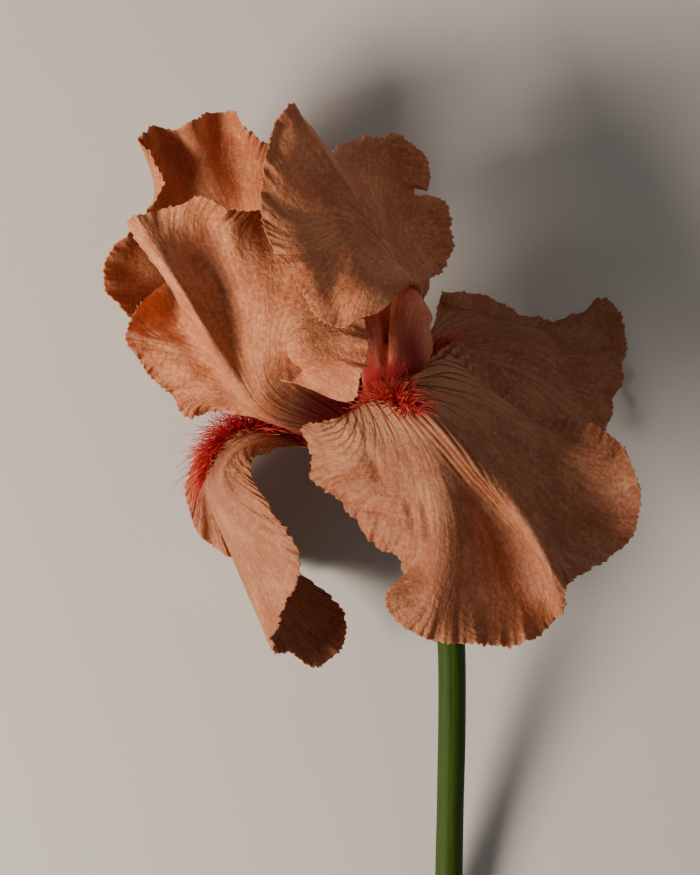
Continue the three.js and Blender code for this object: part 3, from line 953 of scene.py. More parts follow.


# Each finish's throat_red_shade is the throat's deep red, darkened as painted shade.
class Finish(Enum):
    """The finishes of the bloom."""

    # The falls' body and pale are darker than the standards': painted shade, the falls lying less
    # lit.
    FALL = TissueFinish(
        name="fall_tissue", body=(0.35, 0.118, 0.051), pale=(0.53, 0.240, 0.122),
        haft=(0.58, 0.30, 0.145), throat_red_shade=(0.22, 0.004, 0.004), vein=(0.16, 0.009, 0.009),
        faint=(0.27, 0.068, 0.027), rim=(0.48, 0.18, 0.080), dark_show=0.92)
    STANDARD = TissueFinish(
        name="standard_tissue", body=(0.50, 0.155, 0.063), pale=(0.76, 0.330, 0.155),
        haft=(0.41, 0.120, 0.048), throat_red_shade=(0.22, 0.004, 0.004), vein=(0.27, 0.045, 0.021),
        faint=(0.36, 0.092, 0.037), rim=(0.60, 0.23, 0.100), dark_show=0.4, first_fork=0.22,
        furrow=0.05, comb=0.11)
    STYLE = TissueFinish(
        name="style_tissue", body=(0.84, 0.225, 0.130), pale=(0.90, 0.35, 0.225),
        haft=(0.36, 0.014, 0.008), throat_red_shade=(0.26, 0.001, 0.003), vein=(0.30, 0.018, 0.010),
        faint=(0.44, 0.05, 0.022), rim=(0.86, 0.34, 0.20), dark_show=0.3, haft_show=0.9,
        furrow=0.03, comb=0.05)
    BEARD = HairFinish(
        name="beard_hair", root=(0.20, 0.0, 0.005), middle=(0.52, 0.0, 0.014),
        tip=(0.88, 0.20, 0.10))
    POLLEN = GreenFinish(
        name="stamen_tissue", body=(0.62, 0.48, 0.28), pale=(0.72, 0.62, 0.43),
        dry=(0.42, 0.28, 0.11), lines=6.0, roughness=0.75)
    # A near-black green, darker than the ovary's: painted shade over the stem's own green, the stem
    # lying in shadow.
    STEM = GreenFinish(
        name="stem_skin", body=(0.018, 0.044, 0.002), pale=(0.036, 0.072, 0.004),
        dry=(0.08, 0.09, 0.025), lines=34.0, roughness=0.6)
    OVARY = GreenFinish(
        name="ovary_skin", body=(0.060, 0.105, 0.014), pale=(0.115, 0.165, 0.032),
        dry=(0.34, 0.21, 0.07), lines=26.0)
    SPATHE = GreenFinish(
        name="spathe_skin", body=(0.105, 0.135, 0.030), pale=(0.19, 0.20, 0.065),
        dry=(0.32, 0.21, 0.085), lines=30.0, roughness=0.6, scatter=0.15)


class Part(ABC):
    """A part of the bloom: it stands for one node of the solids and has one finish.

    piece_name is the name of its piece, with {} in place of the node's name.
    """

    node: str
    finish: Finish
    slot: str
    piece_name: ClassVar[str]

    @abstractmethod
    def body(self) -> Body:
        """The part's closed body, in metres."""

    def build(self, materials: dict[Finish, bpy.types.Material]) -> bpy.types.Object:
        """Makes the part's piece and dresses it in its finish."""
        name = self.piece_name.format(self.node)
        return make_piece(name, self.body(), materials[self.finish], (self.node,))


# Petals


@dataclass(frozen=True)
class Arc:
    """Three points of a claw, on an arc round the flower's axis.

    height and radius are in millimetres, and spread is half the arc, in degrees.
    """

    height: float
    radius: float
    degrees: float
    spread: float

    def points(self) -> Array:
        """The arc's points in millimetres, from one side to the other."""
        degrees = self.degrees + self.spread * np.array([-1.0, 0.0, 1.0])
        return flower_points(self.height, self.radius, degrees)


@dataclass(frozen=True)
class Fold:
    """A ridge along a line on the sheet, or a hollow where its heights are below 0.

    A place on its path is (right, down, the fold's height in millimetres).
    """

    path: list[Place]
    width: float
    power: float = 2.0
    path_steps: int = 12

    def heights(self, places: Array) -> Array:
        """The fold's height at places on the sheet.

        It is height * exp(-(distance / width)^power), with the height of the path's nearest
        point, in millimetres. A power of 1 gives it a sharp crest.

        Args:
            places: right and down of each grid point.

        Returns:
            The heights, in millimetres.
        """
        line = smooth_curve(np.array(self.path, float), np.linspace(0, 1, self.path_steps))
        distance = np.full(places.shape[:-1], np.inf)
        height = np.zeros_like(distance)
        for start, end in zip(line[:-1], line[1:]):
            step = (end - start)[:2]
            share = np.clip((places - start[:2]) @ step / (step @ step), 0, 1)
            reach = np.linalg.norm(places - start[:2] - share[..., None] * step, axis=-1)
            nearer = reach < distance
            distance = np.where(nearer, reach, distance)
            height = np.where(nearer, start[2] + share * (end[2] - start[2]), height)
        return height * fading(distance * SHEET_STEP, self.width, self.power)


def folded(grid: Array, folds: list[Fold]) -> Array:
    """How far folds lift each point of a grid along its normal: they rise towards the eye.

    Args:
        grid: lines by columns by 3, in millimetres.
        folds: the folds, whose heights add up.

    Returns:
        The lifts, in millimetres.
    """
    places = sheet_places(grid)
    towards_eye = np.clip(4 * grid_normals(grid)[..., 2], -1, 1)
    return sum(fold.heights(places) for fold in folds) * towards_eye


class Draw(IntEnum):
    """What a petal draws: the step from its own seed to the seed of each draw.

    The draws along the second and the third edge are NEXT_EDGE further on.
    """

    CRIMP = 0
    RIPPLE = 3
    TEETH = 5
    BITE = 7
    NEXT_EDGE = 10
    DRIFT = 21
    PLEAT = 23
    FRILL = 31


@dataclass
class Petal(Part):
    """One petal: its loft, its margin and its fine relief. Sizes are in millimetres.

    A reach is how far something fades from an edge. u runs from 0 at the claw to 1 at the
    margin and v from 0 to 1 across. A span holds where a change begins and where it ends, in u
    but for still, which is in v, and for veined and throat_red_shade_reach, the reach of the
    throat's red painted darker as shade, which are in millimetres.
    """

    node: str
    finish: Finish
    slot: str
    claw: tuple[Arc, Arc]
    rows: list[Row]
    folds: list[Fold]
    columns: int
    lines: int
    veins: float
    seed: int
    crowding: float = 1.35
    evenings: int = 5
    midrib: float = 0.5
    bundle_height: float = 0.0
    bundle_width: float = 5.0
    groove_pitch: float = 1.8
    crimp: EdgeWave = EdgeWave(0.7, 9.0, 5.5)
    ripple: EdgeWave = EdgeWave(0.16, 2.3, 7.0)
    frill: EdgeWave = EdgeWave(0.42, 2.6, 3.2, power=1.2)
    teeth: EdgeTeeth = EdgeTeeth(0.9, 1.7, 1.3, pulled_in=0.35)
    bite: EdgeWave = EdgeWave(0.315, 11.0, 1.3, power=2)
    pleat_height: float = 0.1
    pleat_length: float = 0.6
    pleat_drift: float = 0.5
    pleated: Span = (0.2, 0.4)
    pleat_fade: Span = (0.6, 0.95)
    grooved: Span = (0.3, 0.5)
    groove_fade: Span = (0.72, 0.95)
    claw_thickness: float = 0.9
    blade_thickness: float = 0.42
    rim_thickness: float = 0.2
    rim_width: float = 4.0
    edge_reach: float = 0.55
    comb_reach: float = 8.0
    claw_end: float = 0.36
    bladed: Span = (0.0, 0.4)
    free: Span = (0.3, 0.5)
    combed: Span = (0.4, 0.6)
    hafted: Span = (0.18, 0.26)
    veined: Span = (8.0, 21.0)
    haft_calm: float = 0.7
    still: Span = (1.1, 1.2)
    still_calm: float = 0.85
    still_hold: float = 0.6
    throat_red_shade_reach: Span = (11.0, 16.0)
    throat_red_shade_fade: Span = (0.5, 0.62)
    table_softness: float = 0.4
    piece_name: ClassVar[str] = "{}_petal"
    u: Array = field(init=False)
    v: Array = field(init=False)
    grid: Array = field(init=False)

    def __post_init__(self) -> None:
        """Works out the plain loft, in millimetres, with its lines crowded at the margin."""
        self.u = 1 - (1 - np.linspace(0, 1, self.lines)) ** self.crowding
        self.v = np.linspace(0, 1, self.columns)
        rows = [arc.points() for arc in self.claw] + [on_sheet(row) for row in self.rows]
        self.grid = loft(rows, self.u, self.v, self.evenings)

    def at(self, u: Array, v: Array) -> tuple[Array, Array, Array, Array]:
        """Reads the plain loft between its grid points, from the four nearest ones.

        Args:
            u: shares of the way from the claw to the margin.
            v: shares of the way across.

        Returns:
            The points, the normals, the directions along and the directions across.
        """
        row = np.interp(u, self.u, np.arange(self.lines))
        column = v * (self.columns - 1)
        i = np.minimum(row.astype(int), self.lines - 2)
        j = np.minimum(column.astype(int), self.columns - 2)
        s, t = (row - i)[:, None], (column - j)[:, None]
        slopes = np.gradient(self.grid, axis=(0, 1))
        fields = np.stack([self.grid, grid_normals(self.grid), *slopes])
        near = fields[:, i, j] * (1 - t) + fields[:, i, j + 1] * t
        far = fields[:, i + 1, j] * (1 - t) + fields[:, i + 1, j + 1] * t
        point, normal, along, across = near * (1 - s) + far * s
        return point, unit(normal), unit(along), unit(across)

    def relief(self) -> tuple[Array, Array]:
        """The fine relief.

        The height along the normal is pleats + grooves + frill + crimps + ripples + folds. A
        crimp is a wandering wave along an edge that fades over its reach, a ripple is a finer
        one, the frill is a short one along the margin, and a pleat is a wandering wave across
        the petal. Teeth and bites stretch the edge within the sheet. What is along the edges is
        weaker over the still span, where the photo shows a plain edge, and on the haft.

        Returns:
            The moved grid and the share of free edge at each point, 0 inside and 1 at the rim.
        """
        margin, left, right = reaches(self.grid)
        along = unit(np.gradient(self.grid, axis=0))
        across = unit(np.gradient(self.grid, axis=1))
        still = smooth_step(self.v, *self.still)
        calm = (1 - self.haft_calm * self.haft()) * (1 - self.still_calm * still)
        free = smooth_step(self.u, *self.free)[:, None] * (1 - self.still_hold * still)
        height = self.pleats() + self.grooves(left)
        margin_line = travelled(self.grid[-1:], 1)
        height += free * calm * self.frill.at(margin_line, margin, self.seed + Draw.FRILL)
        pull = np.zeros_like(self.grid)
        edges = (
            (margin, margin_line, along),
            (left, travelled(self.grid[:, :1], 0), -across),
            (right, travelled(self.grid[:, -1:], 0), across),
        )
        for number, (reach, position, outward) in enumerate(edges):
            seed = self.seed + Draw.NEXT_EDGE * number
            height += free * calm * self.crimp.at(position, reach, seed + Draw.CRIMP)
            height += free * calm * self.ripple.at(position, reach, seed + Draw.RIPPLE)
            stretch = (self.teeth.at(position, reach, seed + Draw.TEETH)
                       + self.bite.at(position, reach, seed + Draw.BITE))
            pull += outward * (free * stretch)[..., None]
        height += folded(self.grid, self.folds)
        moved = self.grid + grid_normals(self.grid) * height[..., None] + pull
        nearest = np.minimum(np.minimum(left, right), margin)
        return moved, fading(nearest, self.edge_reach, 1) * free

    def pleats(self) -> Array:
        """Soft pleats: a wandering wave across, on first veins, that halves near the margin.

        Returns:
            Their height at each grid point.
        """
        drift = self.pleat_drift * wander(self.u, 0.5, self.seed + Draw.DRIFT)[:, None]
        place = self.veins * self.v[None] + drift
        wave = wander(place, self.pleat_length, self.seed + Draw.PLEAT)
        fade = smooth_step(self.u, *self.pleated) * (1 - smooth_step(self.u, *self.pleat_fade) / 2)
        return self.pleat_height * wave * fade[:, None]

    def grooves(self, left: Array) -> Array:
        """The bundle of grooves beside the midrib.

        It is cos(2 pi offset / pitch), fading with exp(-(offset / width)^2) and towards both
        ends, where offset is the distance from the midrib.

        Args:
            left: the distance from the left edge.

        Returns:
            Their height at each grid point.
        """
        offset = left - left[:, int(self.midrib * (self.columns - 1))][:, None]
        fade = smooth_step(self.u, *self.grooved) * (1 - smooth_step(self.u, *self.groove_fade))
        wave = np.cos(2 * np.pi * offset / self.groove_pitch)
        return self.bundle_height * wave * fading(offset, self.bundle_width, 2) * fade[:, None]

    def haft(self) -> Array:
        """Where the dark veins are: 1 past the claw, and 0 again far along from its end.

        Returns:
            The share at each grid point.
        """
        along = travelled(self.grid, 0)
        past_claw = along - along[int(np.searchsorted(self.u, self.claw_end))]
        begun = smooth_step(self.u, *self.hafted)[:, None]
        return begun * (1 - smooth_step(past_claw, *self.veined))

    def throat_red_shade(self) -> Array:
        """The deep red of the throat, painted darker as shade over its own red, which fades with the
        distance from the flower's axis.

        Returns:
            The share at each grid point.
        """
        offset = self.grid - THROAT
        beside = np.linalg.norm(offset - (offset @ AXIS)[..., None] * AXIS, axis=-1)
        inner = (1 - smooth_step(self.u, *self.throat_red_shade_fade))[:, None]
        return (1 - smooth_step(beside, *self.throat_red_shade_reach)) * inner

    def body(self) -> Body:
        """The closed petal, lying on the table where it reaches it.

        Its masks are haft, where the dark veins are, throat_red_shade, the throat's deep red painted
        darker as shade, edge, the rim, and comb, the band along it.

        Returns:
            The body, in metres.
        """
        moved, edge = self.relief()
        nearest = np.minimum.reduce(reaches(self.grid))
        blade = smooth_step(self.u, *self.bladed)[:, None]
        thickness = self.claw_thickness + (self.blade_thickness - self.claw_thickness) * blade
        rim = 1 - smooth_step(nearest, 0, self.rim_width)
        thickness = thickness * (1 - rim) + self.rim_thickness * rim
        lowest = TABLE_HEIGHT + thickness / 2
        clearance = (moved[..., 2] - lowest) / self.table_softness
        moved[..., 2] = lowest + np.logaddexp(0, clearance) * self.table_softness
        comb = fading(nearest, self.comb_reach, 2) * smooth_step(self.u, *self.combed)[:, None]
        uv = paired(self.veins * self.v, self.u[:, None])
        # throat_red_shade paints the throat's own red darker, as shade.
        masks = {"haft": self.haft(), "throat_red_shade": self.throat_red_shade(), "edge": edge, "comb": comb}
        return sheet_body(to_world(moved), thickness * MILLIMETRE, uv, masks)


# Where each petal's loft passes on the drawing sheet, row by row from the claw to the margin

FRONT_FALL_ROWS = [
    [(355, 424, 15), (364, 414, 17), (378, 409, 18), (390, 402, 17), (402, 392, 11), (407, 385, 5)],
    [(346, 416, 23), (366, 405, 26), (390, 401, 29), (410, 400, 30), (422, 386, 18), (424, 364, 7)],
    [(337, 418, 26), (355, 428, 29), (378, 440, 31), (405, 450, 33), (430, 455, 35),
     (445, 450, 35), (455, 440, 36), (468, 420, 29), (475, 398, 19), (460, 374, 11), (433, 356, 7)],
    [(328, 420, 26), (345, 445, 28), (372, 480, 30), (415, 505, 33), (450, 540, 35),
     (492, 532, 27.5), (510, 505, 33), (540, 480, 25), (550, 440, 17), (503, 400, 9),
     (440, 350, 6)],
    [(318, 422, 26), (325, 450, 25), (352, 494, 27), (415, 548, 31), (435, 610, 35),
     (518, 600, 24.5), (552, 562, 34), (600, 525, 21), (595, 455, 19), (518, 420, 8),
     (446, 345, 5)],
    [(308, 422, 24), (302, 431, 22), (309, 452, 22), (312, 480, 22), (342, 506, 24),
     (375, 545, 26), (403, 566, 28), (384, 606, 34), (425, 639, 34), (478, 645, 32),
     (525, 644, 30), (562, 614, 27), (568, 588, 33), (600, 564, 22), (634, 535, 20),
     (639, 480, 22), (610, 433, 16), (572, 419, 10), (532, 412, 5), (500, 365, 2), (453, 340, 4)],
]

LEFT_FALL_ROWS = [
    [(304, 447, 7), (300, 439, 0), (304, 433, -7)],
    [(294, 447, 8), (266, 441, 8), (243, 428, 1), (246, 424, -7), (264, 423, -13)],
    [(287, 446, 9), (253, 446, 13), (226, 460, 16), (213, 482, 11), (206, 480, 0), (201, 476, -10),
     (200, 466, -17), (210, 448, -20), (228, 432, -20)],
    [(277, 447, 11), (244, 451, 15), (232, 482, 18), (252, 532, 19), (232, 555, -3), (262, 590, -18),
     (262, 560, -32), (212, 505, -34), (200, 450, -27)],
    [(268, 454, 13), (257, 456, 15), (251, 464, 17.5), (254, 481, 21), (272, 509, 26), (294, 542, 27),
     (302, 572, 24), (284, 610, 15), (272, 648, -2), (292, 655, -14), (322, 667, -22),
     (347, 635, -28), (335, 600, -33), (290, 572, -38), (235, 560, -39), (196, 530, -36),
     (184, 487, -32)],
]

BACK_FALL_ROWS = [
    [(413, 399, -5), (416, 386, -10), (411, 374, -15)],
    [(427, 390, -6), (443, 352, -15), (432, 328, -22)],
    [(436, 388, -6), (478, 394, -14), (512, 380, -21), (522, 347, -26), (518, 335, -30),
     (488, 320, -32), (438, 307, -26)],
    [(440, 390, -6), (500, 418, -14), (558, 420, -27), (578, 366, -34), (570, 340, -40),
     (518, 325, -38), (440, 297, -26)],
    [(442, 392, -6), (470, 412, -9), (508, 440, -14), (550, 462, -22), (590, 452, -30),
     (612, 412, -37), (625, 360, -42), (624, 325, -44), (605, 298, -44), (572, 317, -44),
     (530, 317, -42), (485, 295, -36), (443, 291, -27)],
]

LEFT_STANDARD_ROWS = [
    [(303, 436, 6), (305, 426, 13), (361, 400, 6)],
    [(286, 428, 7), (266, 417, 13), (256, 405, 26), (276, 380, 30), (368, 374, 7)],
    [(276, 424, 7.5), (248, 411, 11), (218, 392, 15), (192, 355, 19), (190, 336, 22),
     (203, 326, 34), (230, 304, 29), (264, 302, 33), (291, 324, 37), (293, 357, 36.5),
     (328, 377, 21)],
    [(268, 417, 7.5), (212, 406, 10), (185, 392, 13), (140, 338, 19), (175, 300, 10),
     (158, 257, 32), (196, 234, 27), (258, 245, 28), (325, 285, 35), (334, 362, 38.5),
     (288, 382, 31)],
    [(259, 412, 7.5), (234, 404, 9), (205, 415, 7), (183, 416, 9), (172, 398, 12), (148, 375, 16),
     (125, 335, 20), (140, 303, 14), (165, 280, -2), (142, 246, 2), (129, 219, 29),
     (165, 208, 29), (205, 197, 34), (240, 211, 28), (275, 210, 20), (315, 240, 17),
     (348, 290, 31), (369, 332, 37), (364, 370, 41.5), (349, 402, 38), (280, 379, 33.5)],
]

RIGHT_STANDARD_ROWS = [
    [(411, 342, 7), (417, 330, 0), (419, 337, -7)],
    [(415, 322, 10), (410, 292, 15), (404, 268, 13), (414, 274, 3), (421, 312, -7)],
    [(418, 304, 13), (406, 272, 23), (385, 255, 30), (362, 240, 32), (350, 222, 29), (357, 205, 21),
     (370, 203, 12), (387, 212, 4), (402, 225, -1), (418, 255, -6), (424, 297, -7)],
    [(421, 287, 21), (402, 278, 33), (370, 283, 39), (335, 280, 40), (296, 238, 37), (320, 150, 25),
     (345, 168, 6), (392, 160, -6), (403, 197, -6), (430, 232, -13), (427, 287, -9)],
    [(413, 280, 32), (404, 288, 37), (392, 303, 41), (378, 314, 43), (360, 319, 44), (336, 329, 43),
     (312, 312, 42), (290, 272, 41), (262, 225, 38), (266, 150, 34), (291, 104, 28),
     (318, 150, 8), (345, 143, -4), (385, 134, -8), (420, 148, -10), (430, 178, -12),
     (415, 192, -14), (448, 205, -18), (453, 245, -18), (446, 270, -14), (430, 279, -12)],
]

BACK_STANDARD_ROWS = [
    [(318, 428, -16), (312, 410, -23), (336, 401, -19)],
    [(262, 390, -28), (230, 312, -41), (245, 255, -45.4), (290, 292, -42), (330, 360, -30)],
    [(226, 378, -31), (180, 312, -34), (145, 250, -28), (168, 208, -22), (203, 172, -19),
     (240, 175, -22), (285, 212, -31), (320, 270, -35), (335, 345, -31)],
    [(196, 374, -29), (168, 345, -27), (130, 318, -24), (102, 280, -22), (116, 246, -18),
     (143, 218, -13), (162, 180, -4), (140, 136, 5), (172, 130, -2), (188, 121, 3),
     (212, 113, -5), (236, 119, 1), (262, 138, -6), (292, 165, -14), (322, 195, -22),
     (350, 230, -29), (360, 270, -32), (350, 310, -32), (340, 340, -31)],
]

# The folds that the photo shows on each petal, along lines on the drawing sheet

FRONT_FALL_FOLDS = [
    Fold([(510, 500, 0.8), (532, 535, 1.8), (552, 572, 2.2), (562, 600, 2.0)], 1.8, 1.5),
    Fold([(484, 494, -1.2), (511, 540, -3.4), (531, 576, -4.2), (544, 606, -3.4)], 4.2),
    Fold([(545, 512, -0.8), (566, 550, -1.8), (576, 590, -1.2)], 3.5),
    Fold([(370, 456, -1.2), (377, 474, -1.7)], 1.6),
    Fold([(410, 508, -1.1), (413, 532, -1.2)], 1.1),
    Fold([(424, 506, -1.0), (427, 534, -1.1)], 1.1),
    Fold([(318, 488, -0.6), (350, 503, -1.3), (385, 513, -1.4), (412, 521, -0.8)], 1.1, 1.3),
    Fold([(314, 482, -0.6), (345, 478, -1.1), (375, 468, -1.3)], 1.0, 1.3),
    Fold([(330, 470, 0.4), (350, 462, 0.8), (366, 450, 0.6)], 3.0),
    Fold([(345, 494, 0.5), (372, 498, 0.8), (398, 506, 0.5)], 2.2),
]

LEFT_STANDARD_FOLDS = [
    Fold([(131, 222, 0.6), (160, 258, 1.2), (187, 296, 1.8), (228, 372, 1.9), (255, 408, 1.4),
          (292, 425, 0.5)], 1.5, 1.2),
    Fold([(150, 213, -0.6), (185, 262, -1.6), (215, 315, -2.0), (240, 362, -1.2),
          (265, 395, -0.6)], 6.0),
    Fold([(168, 300, -1.2), (203, 362, -2.0), (234, 402, -1.2)], 3.0),
    Fold([(150, 340, -1.5), (176, 331, -1.2), (195, 325, -0.4)], 2.6),
    Fold([(132, 312, 0.8), (160, 298, 1.0), (182, 300, 0.4)], 4.0),
    Fold([(154, 374, -1.2), (186, 366, -0.7)], 2.3),
    Fold([(174, 397, -1.1), (202, 386, -0.6)], 2.0),
    Fold([(270, 335, 1.0), (318, 360, 1.4), (350, 372, 0.8)], 8.0),
    Fold([(222, 200, 0.7), (232, 240, 1.1), (240, 285, 0.5)], 2.8),
    Fold([(200, 205, -0.7), (214, 250, -0.9), (226, 300, -0.5)], 3.0),
    Fold([(262, 220, -0.8), (275, 265, -0.9), (290, 300, -0.4)], 3.0),
]

RIGHT_STANDARD_FOLDS = [
    Fold([(291, 106, 0.4), (320, 150, 1.1), (357, 205, 1.3), (388, 245, 1.3), (411, 270, 0.6)],
         0.9, 1.2),
    Fold([(300, 112, -0.4), (328, 154, -1.0), (364, 206, -1.1), (394, 243, -1.0)], 1.0),
    Fold([(285, 124, -0.9), (277, 150, -1.1)], 2.0),
    Fold([(325, 225, -1.0), (368, 258, -1.8), (396, 262, -1.0)], 5.0),
    Fold([(345, 302, 1.3), (374, 292, 1.6), (398, 277, 1.0)], 4.5),
    Fold([(338, 262, -0.9), (334, 290, -1.3), (338, 316, -0.9)], 3.0),
    Fold([(296, 238, 0.7), (311, 285, 1.1), (322, 318, 0.7)], 3.6),
    Fold([(270, 195, -0.8), (290, 208, -0.8), (312, 212, -0.3)], 2.4),
    Fold([(385, 188, -1.2), (403, 212, -2.2), (418, 245, -1.4)], 4.0),
    Fold([(396, 194, 0.8), (428, 186, 1.0)], 1.8, 1.4),
    Fold([(430, 225, -1.2), (440, 250, -1.4)], 3.0),
]

BACK_STANDARD_FOLDS = [
    Fold([(156, 124, -1.2), (176, 160, -2.6), (196, 200, -2.6)], 3.6),
    Fold([(186, 118, 0.9), (203, 150, 1.4), (214, 190, 1.0)], 3.2),
    Fold([(222, 106, -1.4), (229, 145, -2.6), (240, 190, -2.6)], 3.8),
    Fold([(246, 118, 0.8), (260, 150, 1.0), (268, 190, 0.8)], 3.2),
    Fold([(112, 262, -0.8), (140, 275, -1.4), (170, 285, -1.0)], 4.0),
]

LEFT_FALL_FOLDS = [
    Fold([(228, 470, -0.6), (250, 530, -0.9), (272, 600, -0.6)], 3.0),
    Fold([(272, 512, 0.5), (292, 560, 0.8), (290, 600, 0.5)], 2.0),
    Fold([(244, 506, -0.5), (262, 514, -1.0), (276, 518, -0.8)], 0.8),
    Fold([(250, 522, -0.4), (268, 529, -0.9), (286, 530, -0.9)], 0.8),
    Fold([(252, 535, -0.4), (266, 544, -0.8), (280, 549, -0.7)], 0.8),
    Fold([(236, 476, -0.6), (244, 462, -0.9), (258, 452, -0.6)], 0.8),
]

BACK_FALL_FOLDS = [
    Fold([(480, 330, 0.8), (530, 350, 1.2), (580, 335, 0.8)], 4.0),
    Fold([(560, 350, -1.2), (600, 340, -1.6)], 4.0),
]


def petals() -> dict[str, Petal]:
    """The six petals: three falls and three standards.

    Returns:
        The petals by their nodes' names.
    """
    fall = {"finish": Finish.FALL, "slot": "fall"}
    standard = {"finish": Finish.STANDARD, "slot": "standard", "veins": 12, "pleat_height": 0.09,
                "veined": (2.0, 13.0), "ripple": EdgeWave(0.12, 2.3, 7.0)}
    made = [
        Petal("fall_front", claw=(Arc(0.75, 4.8, 30, 24), Arc(5, 8.5, 28, 23)),
              rows=FRONT_FALL_ROWS, folds=FRONT_FALL_FOLDS, columns=700, lines=66, veins=12,
              midrib=0.555, bundle_height=0.26, bundle_width=4.5, groove_pitch=1.5, seed=3,
              **fall),
        Petal("fall_left", claw=(Arc(0.75, 4.8, -90, -24), Arc(5, 8.5, -93, -26)),
              rows=LEFT_FALL_ROWS, folds=LEFT_FALL_FOLDS, columns=420, lines=60, veins=11,
              ripple=EdgeWave(0.26, 2.3, 7.0), seed=41, **fall),
        Petal("fall_back", claw=(Arc(0.75, 4.8, 150, 24), Arc(5, 8.5, 143, 26)),
              rows=BACK_FALL_ROWS, folds=BACK_FALL_FOLDS, columns=360, lines=54, veins=10,
              seed=83, **fall),
        # Its throat red reaches further, painting the shaded pocket under its flap deep red as shade.
        Petal("standard_left", claw=(Arc(0.55, 4.8, -30, 24), Arc(6, 7, -34, 26)),
              rows=LEFT_STANDARD_ROWS, folds=LEFT_STANDARD_FOLDS, columns=560, lines=64,
              throat_red_shade_reach=(14.0, 25.0), still=(0.9, 0.96), seed=127, **standard),
        Petal("standard_right", claw=(Arc(0.55, 4.8, 90, 24), Arc(6, 7.5, 92, 22)),
              rows=RIGHT_STANDARD_ROWS, folds=RIGHT_STANDARD_FOLDS, columns=560, lines=64,
              still=(0.27, 0.18), seed=173, **standard),
        Petal("standard_back", claw=(Arc(0.55, 4.8, 210, -24), Arc(6, 7, 208, -26)),
              rows=BACK_STANDARD_ROWS, folds=BACK_STANDARD_FOLDS, columns=440, lines=56,
              seed=211, **standard),
    ]
    return {petal.node: petal for petal in made}


# Beards


@dataclass
class Beard(Part):
    """A crest of fine hairs along the middle of a fall. Sizes are in millimetres.

    The crest runs from start to end of the petal's length about the share middle of its width,
    on the side that its normals face, 1, or on the other one, -1.
    """

    node: str
    petal: Petal
    start: float
    end: float
    side: int
    seed: int
    middle: float = 0.5
    hairs: int = 900
    half_width: float = 4.5
    scatter: float = 0.45
    hair_length: float = 6.0
    inner_hair: float = 0.6
    length_range: Span = (0.6, 1.15)
    hair_radius: float = 0.13
    radius_range: Span = (0.8, 1.2)
    sunk: float = 0.25
    table_gap: float = 0.2
    start_lean: float = -0.7
    end_lean: float = 1.0
    lean_scatter: float = 0.25
    lean_noise: float = 0.2
    droop: float = 0.45
    bend_noise: float = 0.3
    curl: float = 0.9
    curl_turn: Span = (3.0, 7.0)
    taper: float = 0.6
    rings: int = 8
    finish: ClassVar[Finish] = Finish.BEARD
    slot: ClassVar[str] = "beard"
    piece_name: ClassVar[str] = "{}_hairs"

    def body(self) -> Body:
        """The hairs.

        A hair leaves its root along the petal's normal, leaned outwards, back towards the throat
        at the start of the crest and on towards the margin at its end. Its path is root + length
        * (t * lean + 0.5 * t^2 * bend) + curl * t * sin(turns), with all of them drawn.

        Returns:
            All the hairs in one body, in metres.
        """
        random = np.random.default_rng(self.seed)
        s = random.beta(1.0, 1.25, self.hairs)
        w = np.clip(random.normal(0, self.scatter, self.hairs), -1, 1)
        u = self.start + (self.end - self.start) * s
        span = np.interp(u, self.petal.u, travelled(self.petal.grid, 1)[:, -1])
        narrowing = 0.5 + 0.5 * np.sqrt(np.sin(np.pi * (0.2 + 0.7 * s)))
        v = np.clip(self.middle + w * self.half_width * narrowing / span, 0.01, 0.99)
        point, normal, along, across = self.petal.at(u, v)
        outward = normal * self.side
        root = point + outward * (self.petal.blade_thickness / 2 - self.sunk)
        drawn = random.normal(0, 1, (self.hairs, 3))
        onward = self.start_lean + (self.end_lean - self.start_lean) * s
        onward = (onward + self.lean_scatter * random.normal(0, 1, self.hairs))[:, None]
        lean = unit(outward + w[:, None] * across + onward * along + self.lean_noise * drawn)
        bend = (0.7 * onward * along + 0.6 * w[:, None] * across - self.droop * outward
                + self.bend_noise * random.normal(0, 1, (self.hairs, 3)))
        rise = self.inner_hair + (1 - self.inner_hair) * smooth_step(s, 0, 0.6)
        length = self.hair_length * rise * random.uniform(*self.length_range, self.hairs)
        t = np.linspace(0, 1, self.rings)[None, :, None]
        turns = random.uniform(*self.curl_turn, self.hairs)[:, None, None] * t
        turns = turns + random.uniform(0, 6, self.hairs)[:, None, None]
        sideways = unit(np.cross(lean, drawn))[:, None]
        paths = (root[:, None] + length[:, None, None]
                 * (t * lean[:, None] + 0.5 * t ** 2 * bend[:, None])
                 + self.curl * t * np.sin(turns) * sideways)
        paths[..., 2] = np.maximum(paths[..., 2], TABLE_HEIGHT + self.table_gap)
        taper = 1 - self.taper * np.linspace(0, 1, self.rings) ** 1.5
        radius = self.hair_radius * random.uniform(*self.radius_range, (self.hairs, 1)) * taper
        tone = random.uniform(0, 1, self.hairs) * smooth_step(s + 0.5 * np.abs(w), 0.3, 0.9)
        return hair_body(to_world(paths), radius * MILLIMETRE, tone)


# The style, the stamens, the ovary and the stem


